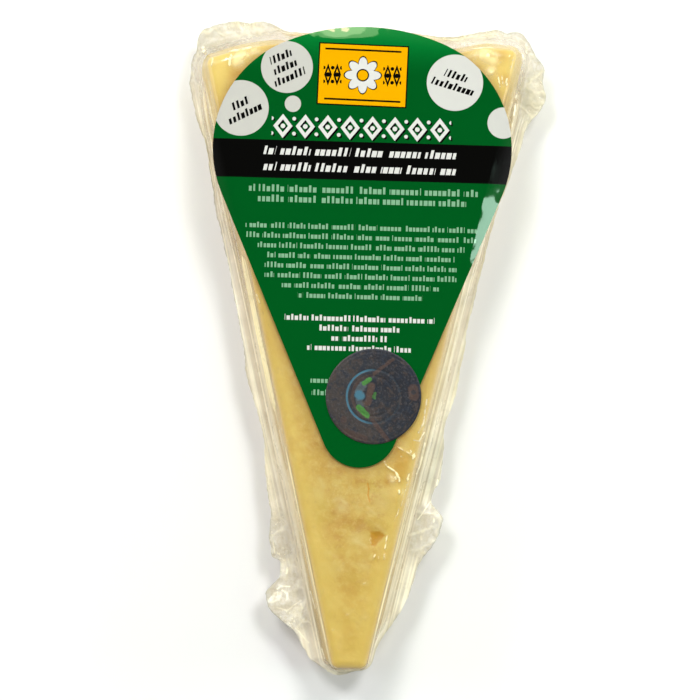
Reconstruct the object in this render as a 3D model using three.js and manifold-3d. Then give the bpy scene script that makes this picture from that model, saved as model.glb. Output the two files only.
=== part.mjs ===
// A vacuum-packed wedge of parmesan: a clear pouch drawn tight round a slice of a cheese wheel, with a
// drop-shaped label stuck on its face and a round seal stuck across the label's lower edge.
// Millimetres, +Z up. The pack lies on its back with the label up, the rind end towards +Y and the cut
// point of the wedge towards -Y.
import * as THREE from "three";
import { mergeVertices } from "three/addons/utils/BufferGeometryUtils.js";
import Module from "manifold-3d";

const wasm = await Module();
wasm.setup();

// ---- Driving dimensions. Y starts at the cut tip and X at the wedge's axis, until the last step
// ---- centres the pack on its own footprint.
const THICKNESS = 25; // back to face
const EDGE = 2.2; // width of the rounding between the flat of the face and the sides
const SEAM_HEIGHT = 11; // where front and back film meet
const FILM_SEAM = 1; // the two films, crumpled together

// The flat of the face: a slice with a blunt tip and a bowed, slightly uneven rind end.
const TIP_LEFT = [-3.15, 2.2];
const TIP_RIGHT = [3.15, 2.2];
const RIND_RIGHT = [39.8, 165.1];
const RIND_LEFT = [-39.7, 161.5];
const RIND_BOW = [
  [33, 165.4],
  [24, 164],
  [7, 165.6],
  [-15, 166],
  [-30, 164.3],
];

// How far the seam stands out from the wedge's edge: [place, reach] pairs, the place being Y along a side
// and X along the tip and the rind end.
const SEAM_TIP = [
  [-6.5, 2.4],
  [-4, 1.3],
  [6.5, 1],
];
const SEAM_RIGHT = [
  [-1, 1],
  [4, 1.3],
  [11, 3.2],
  [16, 5.4],
  [29, 8.2],
  [37, 10.2],
  [42, 8.4],
  [45.5, 5.9],
  [51, 7],
  [58, 6.1],
  [66, 4.5],
  [78, 5.2],
  [90, 4.1],
  [120, 4.5],
  [134, 4.9],
  [146, 6.8],
  [154, 9.4],
  [163, 6.6],
  [168.5, 4.9],
];
const SEAM_RIND = [
  [-43.4, 4.8],
  [-39.5, 7.4],
  [-30, 6.6],
  [-20, 3],
  [0, 3.6],
  [20, 3.5],
  [35, 4.2],
  [43.4, 4.9],
];
const SEAM_LEFT = [
  [-1, 2.4],
  [2, 5.6],
  [9, 8.4],
  [13.5, 12.6],
  [18.5, 13.3],
  [22.5, 10.2],
  [27, 7.8],
  [31, 9.6],
  [40, 8],
  [50, 7.2],
  [60, 5.6],
  [74, 6.5],
  [90, 5.4],
  [114, 5.4],
  [141, 4.7],
  [150, 5.7],
  [161.5, 3.7],
  [165, 4.8],
];

// Crumples of the seam, as waves on the way round: [size, wave length, start].
const CRUMPLES_OUTLINE = [
  [0.35, 12.3, 0],
  [0.25, 7.4, 1],
];
const CRUMPLES_HEIGHT = [
  [1.2, 107, 0],
  [0.5, 27, 2],
];
const CRUMPLED_REACH = 6; // a seam that stands out this far has its crumples at full size

// Where the stiff label holds the film out flat past the wedge's edge: place along each edge, as above.
const TENT_RIGHT = [102, 114, 150, 160];
const TENT_RIND = [-30, -20, 22, 30];
const TENT_LEFT = [108, 120, 146, 156];
const LABEL_BEND = 9; // radius at which the label bends down past the flat of the face

// Dimples of the cheese that show below the label: [x, y, radius, depth].
const DIMPLES = [
  [6.8, 34, 3.2, 0.9],
  [4.1, 47, 2.2, 0.5],
  [-7, 38, 6, 0.4],
  [0, 20, 5, 0.35],
  [11.5, 46, 3, -0.5],
  [-4, 11, 4, 0.3],
];
const DIMPLES_END = [44, 52]; // the face is flat from here on, under the label

// The label is a drop: a small round point, straight flanks, round shoulders and a flatter crown.
const LABEL = {
  middle: [1.1, 100],
  turn: THREE.MathUtils.degToRad(0.6),
  pointRadius: 10.3,
  pointY: 63.6,
  shoulderRadius: 31.1,
  shoulderX: 9.3,
  shoulderY: 139.3,
  crownY: 172.4,
};
const STICKER = 0.3; // thickness of the label and of the seal
const CLEARANCE = 0.35; // film to label, and label to seal
const SEAL_MIDDLE = [5.1, 72.6];
const SEAL_RADIUS = 12.9;

// ---- Resolution
const ACROSS = 18; // steps along the tip and the rind end
const ALONG = 50; // steps along each side
const FAN_STEPS = 3; // steps round half a corner
const ARC_STEPS = 16; // steps along each arc of the label, and along half of the seal
const TIP_CROWDING = 1.15; // over 1, so that steps are shorter near the tip

// ---- The wedge's border, as stations that run counterclockwise from the left of the tip

const vector = ([x, y]) => new THREE.Vector2(x, y);
const evenly = (t) => t;
const crowdedAtStart = (t) => t ** TIP_CROWDING;
const crowdedAtEnd = (t) => 1 - (1 - t) ** TIP_CROWDING;

// Straight and bowed edges, each starting where the one before it ends.
const EDGES = [
  {
    curve: new THREE.LineCurve(vector(TIP_LEFT), vector(TIP_RIGHT)),
    steps: ACROSS,
    spacing: evenly,
    axis: "x",
    seam: SEAM_TIP,
  },
  {
    curve: new THREE.LineCurve(vector(TIP_RIGHT), vector(RIND_RIGHT)),
    steps: ALONG,
    spacing: crowdedAtStart,
    axis: "y",
    seam: SEAM_RIGHT,
    tent: TENT_RIGHT,
  },
  {
    curve: new THREE.SplineCurve([RIND_RIGHT, ...RIND_BOW, RIND_LEFT].map(vector)),
    steps: ACROSS,
    spacing: evenly,
    axis: "x",
    seam: SEAM_RIND,
    tent: TENT_RIND,
  },
  {
    curve: new THREE.LineCurve(vector(RIND_LEFT), vector(TIP_LEFT)),
    steps: ALONG,
    spacing: crowdedAtEnd,
    axis: "y",
    seam: SEAM_LEFT,
    tent: TENT_LEFT,
  },
];

// A smooth line through [place, value] pairs.
function along(pairs, place) {
  const last = pairs.length - 1;
  if (place <= pairs[0][0]) return pairs[0][1];
  if (place >= pairs[last][0]) return pairs[last][1];
  const i = pairs.findIndex(([at]) => at > place) - 1;
  const [from, a] = pairs[i];
  const [to, b] = pairs[i + 1];
  return THREE.MathUtils.lerp(a, b, THREE.MathUtils.smoothstep(place, from, to));
}

// 1 between the middle two places, falling to 0 at the outer two.
function plateau([rise, top, end, fall], place) {
  return THREE.MathUtils.smoothstep(place, rise, top) * (1 - THREE.MathUtils.smoothstep(place, end, fall));
}

function waves(list, way) {
  return list.reduce((sum, [size, length, start]) => {
    return sum + size * Math.sin((2 * Math.PI * way) / length + start);
  }, 0);
}

// The direction out of the wedge at a place on an edge.
function outOf({ curve }, t) {
  const tangent = curve.getTangentAt(t);
  return new THREE.Vector2(tangent.y, -tangent.x);
}

// Directions that turn from one to just before another.
function fan(from, to) {
  return Array.from({ length: FAN_STEPS }, (_, k) => {
    return from.clone().lerp(to, k / FAN_STEPS).normalize();
  });
}

// An edge's points, each with its direction out. A corner is one point with many directions, and its first
// belongs to the grid that fills the border, as the points between the corners do.
function edgePoints(edge, before, after) {
  const start = outOf(edge, 0);
  const end = outOf(edge, 1);
  const firstCorner = outOf(before, 1).add(start).normalize();
  const lastCorner = outOf(after, 0).add(end).normalize();
  const at = (t, out, onGrid) => ({ edge, point: edge.curve.getPointAt(t), out, onGrid });
  const between = Array.from({ length: edge.steps - 1 }, (_, i) => edge.spacing((i + 1) / edge.steps));
  return [
    ...fan(firstCorner, start).map((out, k) => at(0, out, k === 0)),
    at(0, start, false),
    ...between.map((t) => at(t, outOf(edge, t), true)),
    ...fan(end, lastCorner).map((out) => at(1, out, false)),
  ];
}

const PLACE_REACH = 5; // a station's place is read this far out, so that it also moves round a corner
const SEAM_ROOT = 1.1; // least width of the flat seam
const WEB_REACH = 4.4; // most that the slanting side film reaches out

const crumpling = (reach) => Math.min(1, reach / CRUMPLED_REACH);

// Adds to each point the reach of the seam and of its root, how far the label tents the film there, and the
// way round to it.
function stationsOf(points) {
  const spots = points.map(({ point, out }) => point.clone().addScaledVector(out, PLACE_REACH));
  let way = 0;
  return points.map(({ edge, point, out, onGrid }, i) => {
    const place = spots[i][edge.axis];
    way += spots[i].distanceTo(spots.at(i - 1));
    const plain = along(edge.seam, place);
    const reach = plain + waves(CRUMPLES_OUTLINE, way) * crumpling(plain);
    const root = Math.min(WEB_REACH, Math.max(0.6 * reach, reach - SEAM_ROOT));
    const tent = edge.tent ? plateau(edge.tent, place) : 0;
    return { point, out, onGrid, reach, root, tent, way };
  });
}

const stations = stationsOf(
  EDGES.flatMap((edge, i) => edgePoints(edge, EDGES.at(i - 1), EDGES[(i + 1) % EDGES.length])),
);

// ---- Surfaces

// How far the label, and the film that it tents, has bent down at a distance past the flat.
function bend(distance) {
  return LABEL_BEND - Math.sqrt(LABEL_BEND ** 2 - Math.max(0, distance) ** 2);
}

// The face's low relief, over the part of the cheese that the label leaves free.
function relief(x, y) {
  const depth = DIMPLES.reduce((sum, [cx, cy, radius, deep]) => {
    return sum + deep * Math.exp(-((x - cx) ** 2 + (y - cy) ** 2) / radius ** 2);
  }, 0);
  return -depth * (1 - THREE.MathUtils.smoothstep(y, ...DIMPLES_END));
}

// The height of the seam, which waves up and down as it goes round.
function seamHeight({ way, reach }) {
  return SEAM_HEIGHT + waves(CRUMPLES_HEIGHT, way) * crumpling(reach);
}

// A ring of vertices round the wedge: section(station, its index) gives [distance past the flat, height].
function ring(section) {
  return stations.map((station, i) => {
    const [distance, height] = section(station, i);
    const at = station.point.clone().addScaledVector(station.out, distance);
    return new THREE.Vector3(at.x, at.y, height);
  });
}

// The pouch's section at a station, from the flat of the face down the side, out to the seam and back
// under. Where there is no label it falls steeply, with a ledge of folded film; under the label it bends.
function pouchSection(station) {
  const { reach, root, tent } = station;
  const seam = seamHeight(station);
  const bare = [
    [0, THICKNESS],
    [1.3, THICKNESS - 0.35],
    [2.1, THICKNESS - 1.1],
    [2.35, THICKNESS - 2.6],
    [EDGE + 0.25 * root, 18.6],
    [EDGE + 0.54 * root, 17.3],
    [EDGE + 0.66 * root, 14.2],
  ];
  const tented = [0, 1.3, 2.4, 3.4, 4.3].map((distance) => [distance, THICKNESS - bend(distance)]);
  tented.push([EDGE + 0.8 * root, THICKNESS - bend(EDGE + 0.8 * root) - 0.6]);
  tented.push([EDGE + 0.94 * root, 17.5]);
  const side = bare.map(([distance, height], i) => [
    THREE.MathUtils.lerp(distance, tented[i][0], tent),
    THREE.MathUtils.lerp(height, tented[i][1], tent),
  ]);
  return [
    ...side,
    [EDGE + root, seam + 0.7 * FILM_SEAM],
    [EDGE + reach, seam + 0.5 * FILM_SEAM],
    [EDGE + reach, seam - 0.5 * FILM_SEAM],
    [EDGE + root, seam - 0.7 * FILM_SEAM],
    [EDGE + 0.55 * root, 5.2],
    [EDGE + 0.2 * root, 1.3],
    [0.9, 0],
    [0, 0],
  ];
}

// A grid of vertices inside a ring, a Coons patch between its four edges.
function fill(vertices, height) {
  const border = vertices.filter((_, i) => stations[i].onGrid);
  const rows = [];
  const left = (j) => border[(border.length - j) % border.length];
  const right = (j) => border[ACROSS + j];
  const low = (i) => border[i];
  const high = (i) => border[2 * ACROSS + ALONG - i];
  for (let j = 0; j <= ALONG; j++) {
    const v = j / ALONG;
    const row = [left(j)];
    for (let i = 1; i < ACROSS; i++) {
      const u = i / ACROSS;
      if (j === 0 || j === ALONG) {
        row.push(j === 0 ? low(i) : high(i));
        continue;
      }
      const blend = (key) =>
        (1 - v) * low(i)[key] +
        v * high(i)[key] +
        (1 - u) * left(j)[key] +
        u * right(j)[key] -
        (1 - v) * ((1 - u) * low(0)[key] + u * low(ACROSS)[key]) -
        v * ((1 - u) * high(0)[key] + u * high(ACROSS)[key]);
      const x = blend("x");
      const y = blend("y");
      row.push(new THREE.Vector3(x, y, height(x, y)));
    }
    row.push(right(j));
    rows.push(row);
  }
  return rows;
}

// ---- Meshes

const SAME_POINT = 1e-4;

// Collects triangles, leaving out those that a corner's shared point has folded to a line.
class Surface {
  #positions = [];

  triangle(a, b, c) {
    const sides = [a.distanceTo(b), b.distanceTo(c), c.distanceTo(a)];
    if (Math.min(...sides) < SAME_POINT) return;
    this.#positions.push(...a.toArray(), ...b.toArray(), ...c.toArray());
  }

  // A grid seen from above, or from below when it is turned over.
  grid(rows, turned = false) {
    for (let j = 0; j + 1 < rows.length; j++) {
      for (let i = 0; i + 1 < rows[j].length; i++) {
        const quad = [rows[j][i], rows[j][i + 1], rows[j + 1][i + 1], rows[j + 1][i]];
        const [a, b, c, d] = turned ? quad.reverse() : quad;
        this.triangle(a, b, c);
        this.triangle(a, c, d);
      }
    }
  }

  // The band between two rings, the first nearer to the middle of the face.
  band(inner, outer) {
    inner.forEach((a, i) => {
      const next = (i + 1) % inner.length;
      this.triangle(a, outer[i], outer[next]);
      this.triangle(a, outer[next], inner[next]);
    });
  }

  geometry() {
    const attribute = new THREE.Float32BufferAttribute(this.#positions, 3);
    return new THREE.BufferGeometry().setAttribute("position", attribute);
  }
}

// The sealed pouch with the cheese inside it, as one solid.
function pouchGeometry() {
  const sections = stations.map(pouchSection);
  const rings = sections[0].map((_, k) => ring((station, i) => sections[i][k]));
  const surface = new Surface();
  surface.grid(fill(rings[0], (x, y) => THICKNESS + relief(x, y)));
  rings.slice(1).forEach((outer, k) => surface.band(rings[k], outer));
  surface.grid(fill(rings.at(-1), () => 0), true);
  return surface.geometry();
}

// A sheet of even thickness draped over the face and past its edges, its underside at a height above it.
function drapeGeometry(lift) {
  const distances = [0, 1.3, 2.6, 3.8, 5, 6.1, 7.2];
  const layer = (height) => distances.map((d) => ring(() => [d, THICKNESS + height - bend(d)]));
  const over = layer(lift + STICKER);
  const under = layer(lift);
  const surface = new Surface();
  surface.grid(fill(over[0], () => THICKNESS + lift + STICKER));
  surface.grid(fill(under[0], () => THICKNESS + lift), true);
  over.slice(1).forEach((outer, k) => surface.band(over[k], outer));
  surface.band(over.at(-1), under.at(-1));
  under.slice(1).forEach((outer, k) => surface.band(outer, under[k]));
  return surface.geometry();
}

function solidOf(geometry) {
  const bare = geometry.clone();
  bare.deleteAttribute("normal");
  bare.deleteAttribute("uv");
  const merged = mergeVertices(bare);
  return new wasm.Manifold(
    new wasm.Mesh({
      numProp: 3,
      vertProperties: merged.attributes.position.array,
      triVerts: new Uint32Array(merged.index.array),
    }),
  );
}

// Cuts a draped sheet along an outline, as a die does.
function dieCut(sheet, outline) {
  const settings = { depth: 2 * THICKNESS, bevelEnabled: false, curveSegments: ARC_STEPS };
  const cutter = new THREE.ExtrudeGeometry(outline, settings);
  const { vertProperties, triVerts } = solidOf(sheet).intersect(solidOf(cutter)).getMesh();
  return new THREE.BufferGeometry()
    .setAttribute("position", new THREE.BufferAttribute(vertProperties, 3))
    .setIndex(new THREE.BufferAttribute(triVerts, 1));
}

// The drop outline: crown, right shoulder, straight flank, point, and the same again on the left.
function labelOutline() {
  const { middle, turn, pointRadius, pointY, shoulderRadius, shoulderX, shoulderY, crownY } = LABEL;
  const top = crownY - shoulderRadius;
  const crownMiddle = (top ** 2 - shoulderX ** 2 - shoulderY ** 2) / (2 * (top - shoulderY));
  const crownRadius = crownY - crownMiddle;
  const crownEnd = Math.atan2(shoulderY - crownMiddle, shoulderX);
  const flank = Math.hypot(shoulderX, shoulderY - pointY);
  const lean = Math.atan2(shoulderY - pointY, shoulderX);
  const flankNormal = lean - Math.acos((pointRadius - shoulderRadius) / flank);
  const shape = new THREE.Path();
  shape.absarc(0, pointY, pointRadius, Math.PI - flankNormal, 2 * Math.PI + flankNormal);
  shape.absarc(shoulderX, shoulderY, shoulderRadius, flankNormal, crownEnd);
  shape.absarc(0, crownMiddle, crownRadius, crownEnd, Math.PI - crownEnd);
  shape.absarc(-shoulderX, shoulderY, shoulderRadius, Math.PI - crownEnd, Math.PI - flankNormal);
  const turned = shape.getPoints(ARC_STEPS).map((point) => {
    return point
      .sub(new THREE.Vector2(0, middle[1]))
      .rotateAround(new THREE.Vector2(), turn)
      .add(vector(middle));
  });
  return new THREE.Shape(turned);
}

function sealOutline() {
  return new THREE.Shape().absarc(...SEAL_MIDDLE, SEAL_RADIUS, 0, 2 * Math.PI);
}

// ---- The pack

function node(name, geometry, color, roughness, metalness) {
  const mesh = new THREE.Mesh(geometry, new THREE.MeshStandardMaterial({ color, roughness, metalness }));
  mesh.name = name;
  return mesh;
}

const pack = new THREE.Group();
pack.add(node("vacuum_pack", pouchGeometry(), 0xe0c684, 0.25, 0));
pack.add(node("front_label", dieCut(drapeGeometry(CLEARANCE), labelOutline()), 0x006b2a, 0.35, 0));
pack.add(
  node(
    "seal_sticker",
    dieCut(drapeGeometry(2 * CLEARANCE + STICKER), sealOutline()),
    0x46474d,
    0.3,
    0.7,
  ),
);

const footprint = new THREE.Box3().setFromObject(pack).getCenter(new THREE.Vector3());
pack.children.forEach((mesh) => mesh.position.set(-footprint.x, -footprint.y, 0));

export default pack;
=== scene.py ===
"""The looks of a vacuum-packed wedge of parmesan: the cheese, the clear pouch drawn tight round it, the
glossy drop-shaped label on its face and the round foil seal across the label's lower end."""

import math

import bmesh
import bpy
import numpy as np
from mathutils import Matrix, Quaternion, Vector, geometry, noise


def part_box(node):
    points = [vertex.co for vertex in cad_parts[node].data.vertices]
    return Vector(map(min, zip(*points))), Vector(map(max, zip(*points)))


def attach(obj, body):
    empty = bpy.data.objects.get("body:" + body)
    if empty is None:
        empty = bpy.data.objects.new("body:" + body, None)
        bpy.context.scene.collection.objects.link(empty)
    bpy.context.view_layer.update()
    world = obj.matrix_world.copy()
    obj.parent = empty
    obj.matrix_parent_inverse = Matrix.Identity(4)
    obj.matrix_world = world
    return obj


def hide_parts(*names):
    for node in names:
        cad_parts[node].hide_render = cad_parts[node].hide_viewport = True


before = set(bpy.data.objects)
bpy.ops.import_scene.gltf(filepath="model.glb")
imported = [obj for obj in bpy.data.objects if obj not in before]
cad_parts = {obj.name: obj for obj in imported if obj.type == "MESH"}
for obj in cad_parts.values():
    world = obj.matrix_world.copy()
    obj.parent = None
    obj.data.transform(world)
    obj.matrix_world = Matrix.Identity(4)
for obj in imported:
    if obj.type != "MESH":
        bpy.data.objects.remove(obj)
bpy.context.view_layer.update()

# ---- Sizes, in millimetres. X starts at the wedge's axis, Y at its cut tip and Z at the surface it lies on.
MM = 0.001
THICKNESS = 25  # back to face
EDGE = 2.2  # rounding between the flat of the face and the sides
SEAM_HEIGHT = 11  # where front and back film meet
SEAM_HALF = 0.22  # half of the two films' thickness, as crumpled together
CHEESE_TOP, CHEESE_BACK = 24.8, 0.15  # heights of the cheese's face and back, just inside the film
FILM_BACK = 0.02
FACE_LEVEL = 22  # what is higher is on the face or its rounded edge

# The flat of the face: a slice with a blunt tip and a bowed, slightly uneven rind end.
TIP_LEFT = (-2.85, 0.9)
TIP_RIGHT = (2.85, 0.9)
RIND_RIGHT = (39.8, 165.1)
RIND_LEFT = (-39.7, 161.5)
RIND_BOW = ((33, 165.4), (24, 164), (7, 165.6), (-15, 166), (-30, 164.3))

# How far the seam stands out from the wedge's edge, as (place, reach) pairs: Y along a side, X along an end.
SEAM_TIP = ((-6.5, 2.8), (-2.5, 2.7), (2.8, 1.5), (6, 1.5))
SEAM_RIGHT = (
    (-3, 1.5), (1, 1.6), (20, 6.8), (26, 7.3), (38, 11), (40.5, 11.1), (45.2, 6.5), (46.5, 6.5),
    (50.5, 7.6), (58, 6.8), (65.5, 5.2), (72.5, 6.2), (84, 5.7), (92, 4.9), (118, 4.8), (146, 7.3),
    (156.7, 10.7), (162, 8.6), (163.8, 8.5), (166.2, 5.6),
)
SEAM_RIND = (
    (-44, 4.8), (-41.2, 8.8), (-38.5, 9.1), (-35, 8.9), (-29.5, 7.3), (-27, 7.4), (-19, 3.6), (-14, 3.3),
    (0, 3.6), (14, 4.8), (27, 5.1), (33, 5.3), (36.6, 5.9), (39.5, 5.4), (41.8, 6.4), (44, 5.8),
)
SEAM_LEFT = (
    (-3, 2.7), (2, 5.9), (6, 7.4), (18.2, 14.2), (20, 14), (24.8, 8.6), (27.8, 8.3), (29.8, 10.3),
    (33, 9.9), (43, 7.9), (50, 7.5), (61, 5.8), (66, 5.8), (77, 6.8), (90, 5.9), (110, 5.6), (122, 5.9),
    (141, 5), (150, 6.1), (157, 5.9), (162, 4.8), (165, 5),
)
CRUMPLES_OUTLINE = ((0.1, 11.3, 1), (0.06, 4.7, 2), (0.05, 2.1, 0.5))  # size, wave, start
CRUMPLES_HEIGHT = ((1.2, 107, 0), (0.3, 27, 2), (0.1, 9.1, 1))
CRUMPLED_REACH = 6  # a seam that stands out this far has its waves at full size
LOBE_REACH = (6.6, 9.4)  # a seam that stands out less is drawn into streaks, one past this is a crumpled lobe
CORNER_RISE, CORNER_ASIDE = (150, 161), (14, 26)  # towards the rind end's corners the film is crumpled too
SEAM_ROOT = 1.1  # least width of the flat seam
WEB_REACH = 4.4  # most that the slanting side film reaches out
PLACE_REACH = 5  # a station's place is read this far out, so that it also moves round a corner

# Where the stiff label holds the film out flat past the wedge's edge: rise, top, end and fall.
TENT_RIGHT = (102, 114, 150, 160)
TENT_RIND = (-30, -20, 22, 30)
TENT_LEFT = (108, 120, 146, 156)
LABEL_BEND = 14  # radius at which the label bends down past the flat of the face

LABEL_MIDDLE = (1.1, 100)
LABEL_TURN = math.radians(0.6)
POINT_RADIUS, POINT_Y = 10.3, 63.6
SHOULDER_RADIUS, SHOULDER_X, SHOULDER_Y = 31.1, 9.3, 139.3
CROWN_Y = 172.4
LABEL_UNDERSIDE, LABEL_TOP = 25.35, 25.6
LABEL_SWELLS = ((30.1, 126.6, 4.3, 0.15),)  # x, y, radius, height
LABEL_PRESSES = (0.1, 1.3)  # from the label's edge out to where the film is free
SEAL_MIDDLE = (5.1, 72.6)
SEAL_RADIUS = 12.9
SEAL_UNDERSIDE, SEAL_TOP = 25.68, 25.86

# ---- Resolution
STEP = 0.5  # between stations along the sides and the rind end
TIP_STEP = 0.3
CORNER_STEPS = 26
CURVE_STEPS = 40  # between two knots of a curve
COVERED = 3  # deeper than this under the label, the face's mesh is coarse
BACK_SPACING = 6  # of the back's mesh


def sealed_origin():
    """The frame's millimetre place of the wedge's own zero, read from the middle of the round seal."""
    low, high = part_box("seal_sticker")
    middle = (low + high) / 2 / MM
    return np.array([middle.x - SEAL_MIDDLE[0], middle.y - SEAL_MIDDLE[1], 0])


ORIGIN = sealed_origin()


# ---- The wedge's border, as stations that run counterclockwise from the left of the tip

def curve(a, b, c, d, t):
    """A smooth curve's place between its knots b and c, at t from 0 to 1, with a and d the knots beyond."""
    return 0.5 * (2 * b + (c - a) * t + (2 * a - 5 * b + 4 * c - d) * t**2 + (3 * b - a - 3 * c + d) * t**3)


def resampled(knots, step):
    """Evenly spaced points along a smooth curve through knots, both ends included."""
    knots = np.array(knots, float)
    padded = np.vstack([knots[:1], knots, knots[-1:]])
    t = np.linspace(0, 1, CURVE_STEPS, endpoint=False)[:, None]
    pieces = [curve(*four, t) for four in zip(padded, padded[1:], padded[2:], padded[3:])]
    fine = np.vstack([*pieces, knots[-1:]])
    walked = np.concatenate([[0], np.cumsum(np.linalg.norm(np.diff(fine, axis=0), axis=1))])
    at = np.linspace(0, walked[-1], round(walked[-1] / step) + 1)
    return np.column_stack([np.interp(at, walked, fine[:, k]) for k in range(2)])


def outward(points):
    """The directions out of the wedge along one of its edges."""
    tangents = np.gradient(points, axis=0)
    tangents /= np.linalg.norm(tangents, axis=1)[:, None]
    return np.column_stack([tangents[:, 1], -tangents[:, 0]])


def smoothstep(value, low, high):
    t = np.clip((value - low) / (high - low), 0, 1)
    return t * t * (3 - 2 * t)


def along(pairs, place):
    """A smooth line through (place, value) pairs."""
    result = np.full_like(place, pairs[0][1], dtype=float)
    for (start, a), (end, b) in zip(pairs, pairs[1:]):
        result += (b - a) * smoothstep(place, start, end)
    return result


def plateau(edges, place):
    """1 between the middle two places, falling to 0 at the outer two."""
    rise, top, end, fall = edges
    return smoothstep(place, rise, top) * (1 - smoothstep(place, end, fall))


def waves(table, way):
    return sum(size * np.sin(2 * math.pi * way / length + start) for size, length, start in table)


EDGES = (
    (resampled((TIP_LEFT, TIP_RIGHT), TIP_STEP), 0, SEAM_TIP, None),
    (resampled((TIP_RIGHT, RIND_RIGHT), STEP), 1, SEAM_RIGHT, TENT_RIGHT),
    (resampled((RIND_RIGHT, *RIND_BOW, RIND_LEFT), STEP), 0, SEAM_RIND, TENT_RIND),
    (resampled((RIND_LEFT, TIP_LEFT), STEP), 1, SEAM_LEFT, TENT_LEFT),
)


class Stations:
    """Points on the border of the flat, their directions out, and what the film does there."""

    def __init__(self):
        outs = [outward(points) for points, *_ in EDGES]
        rows = []
        for i, (points, *_) in enumerate(EDGES):
            after = (i + 1) % len(EDGES)
            rows += [(*p, *o, i, True) for p, o in zip(points[:-1], outs[i])]
            start = math.atan2(outs[i][-1][1], outs[i][-1][0])
            turn = (math.atan2(outs[after][0][1], outs[after][0][0]) - start) % (2 * math.pi)
            for k in range(CORNER_STEPS):
                angle = start + turn * k / CORNER_STEPS
                owner = i if k < CORNER_STEPS / 2 else after
                rows.append((*points[-1], math.cos(angle), math.sin(angle), owner, False))
        table = np.array(rows, float)
        self.point, self.out = table[:, 0:2], table[:, 2:4]
        self.single = table[:, 5] > 0.5  # False for a corner's many stations, which share a point
        spots = self.point + PLACE_REACH * self.out
        self.place, self.edge = spots[:, 1], table[:, 4]
        self.way = np.cumsum(np.linalg.norm(spots - np.roll(spots, 1, axis=0), axis=1))
        plain, self.tent = np.zeros(len(table)), np.zeros(len(table))
        for i, (_, axis, seam, tent) in enumerate(EDGES):
            own = table[:, 4] == i
            plain[own] = along(seam, spots[own, axis])
            if tent:
                self.tent[own] = plateau(tent, spots[own, axis])
        crumpling = np.minimum(1, plain / CRUMPLED_REACH)
        self.reach = plain + waves(CRUMPLES_OUTLINE, self.way) * crumpling
        self.root = np.minimum(WEB_REACH, np.maximum(0.6 * self.reach, self.reach - SEAM_ROOT))
        self.seam = SEAM_HEIGHT + waves(CRUMPLES_HEIGHT, self.way) * crumpling
        self.corner = smoothstep(spots[:, 1], *CORNER_RISE) * smoothstep(np.abs(spots[:, 0]), *CORNER_ASIDE)
        self.lobed = np.maximum(smoothstep(plain, *LOBE_REACH), self.corner)

    def at(self, distance):
        return self.point + distance[:, None] * self.out


stations = Stations()
border_keys = np.array([p for points, *_ in EDGES for p in points[:-1:8]])


def depth_inside(outline, points):
    """How far inside a closed outline each point lies, below 0 outside it."""
    a = outline[:, None]
    b = np.roll(outline, -1, axis=0)[:, None]
    side = b - a
    t = np.clip(((points - a) * side).sum(2) / (side**2).sum(2), 0, 1)
    nearest = np.linalg.norm(points - a - t[..., None] * side, axis=2).min(0)
    above = (a[..., 1] > points[:, 1]) != (b[..., 1] > points[:, 1])
    with np.errstate(divide="ignore", invalid="ignore"):
        crossing = a[..., 0] + side[..., 0] * (points[:, 1] - a[..., 1]) / side[..., 1]
    inside = (above & (points[:, 0] < crossing)).sum(0) % 2 == 1
    return np.where(inside, nearest, -nearest)


def bend(distance):
    """How far the label, and the film that it holds out, has bent down at a distance past the flat."""
    past = np.clip(distance, 0, LABEL_BEND * 0.95)
    return LABEL_BEND - np.sqrt(LABEL_BEND**2 - past**2)


# ---- Relief of the face, over what the label leaves free

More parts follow.
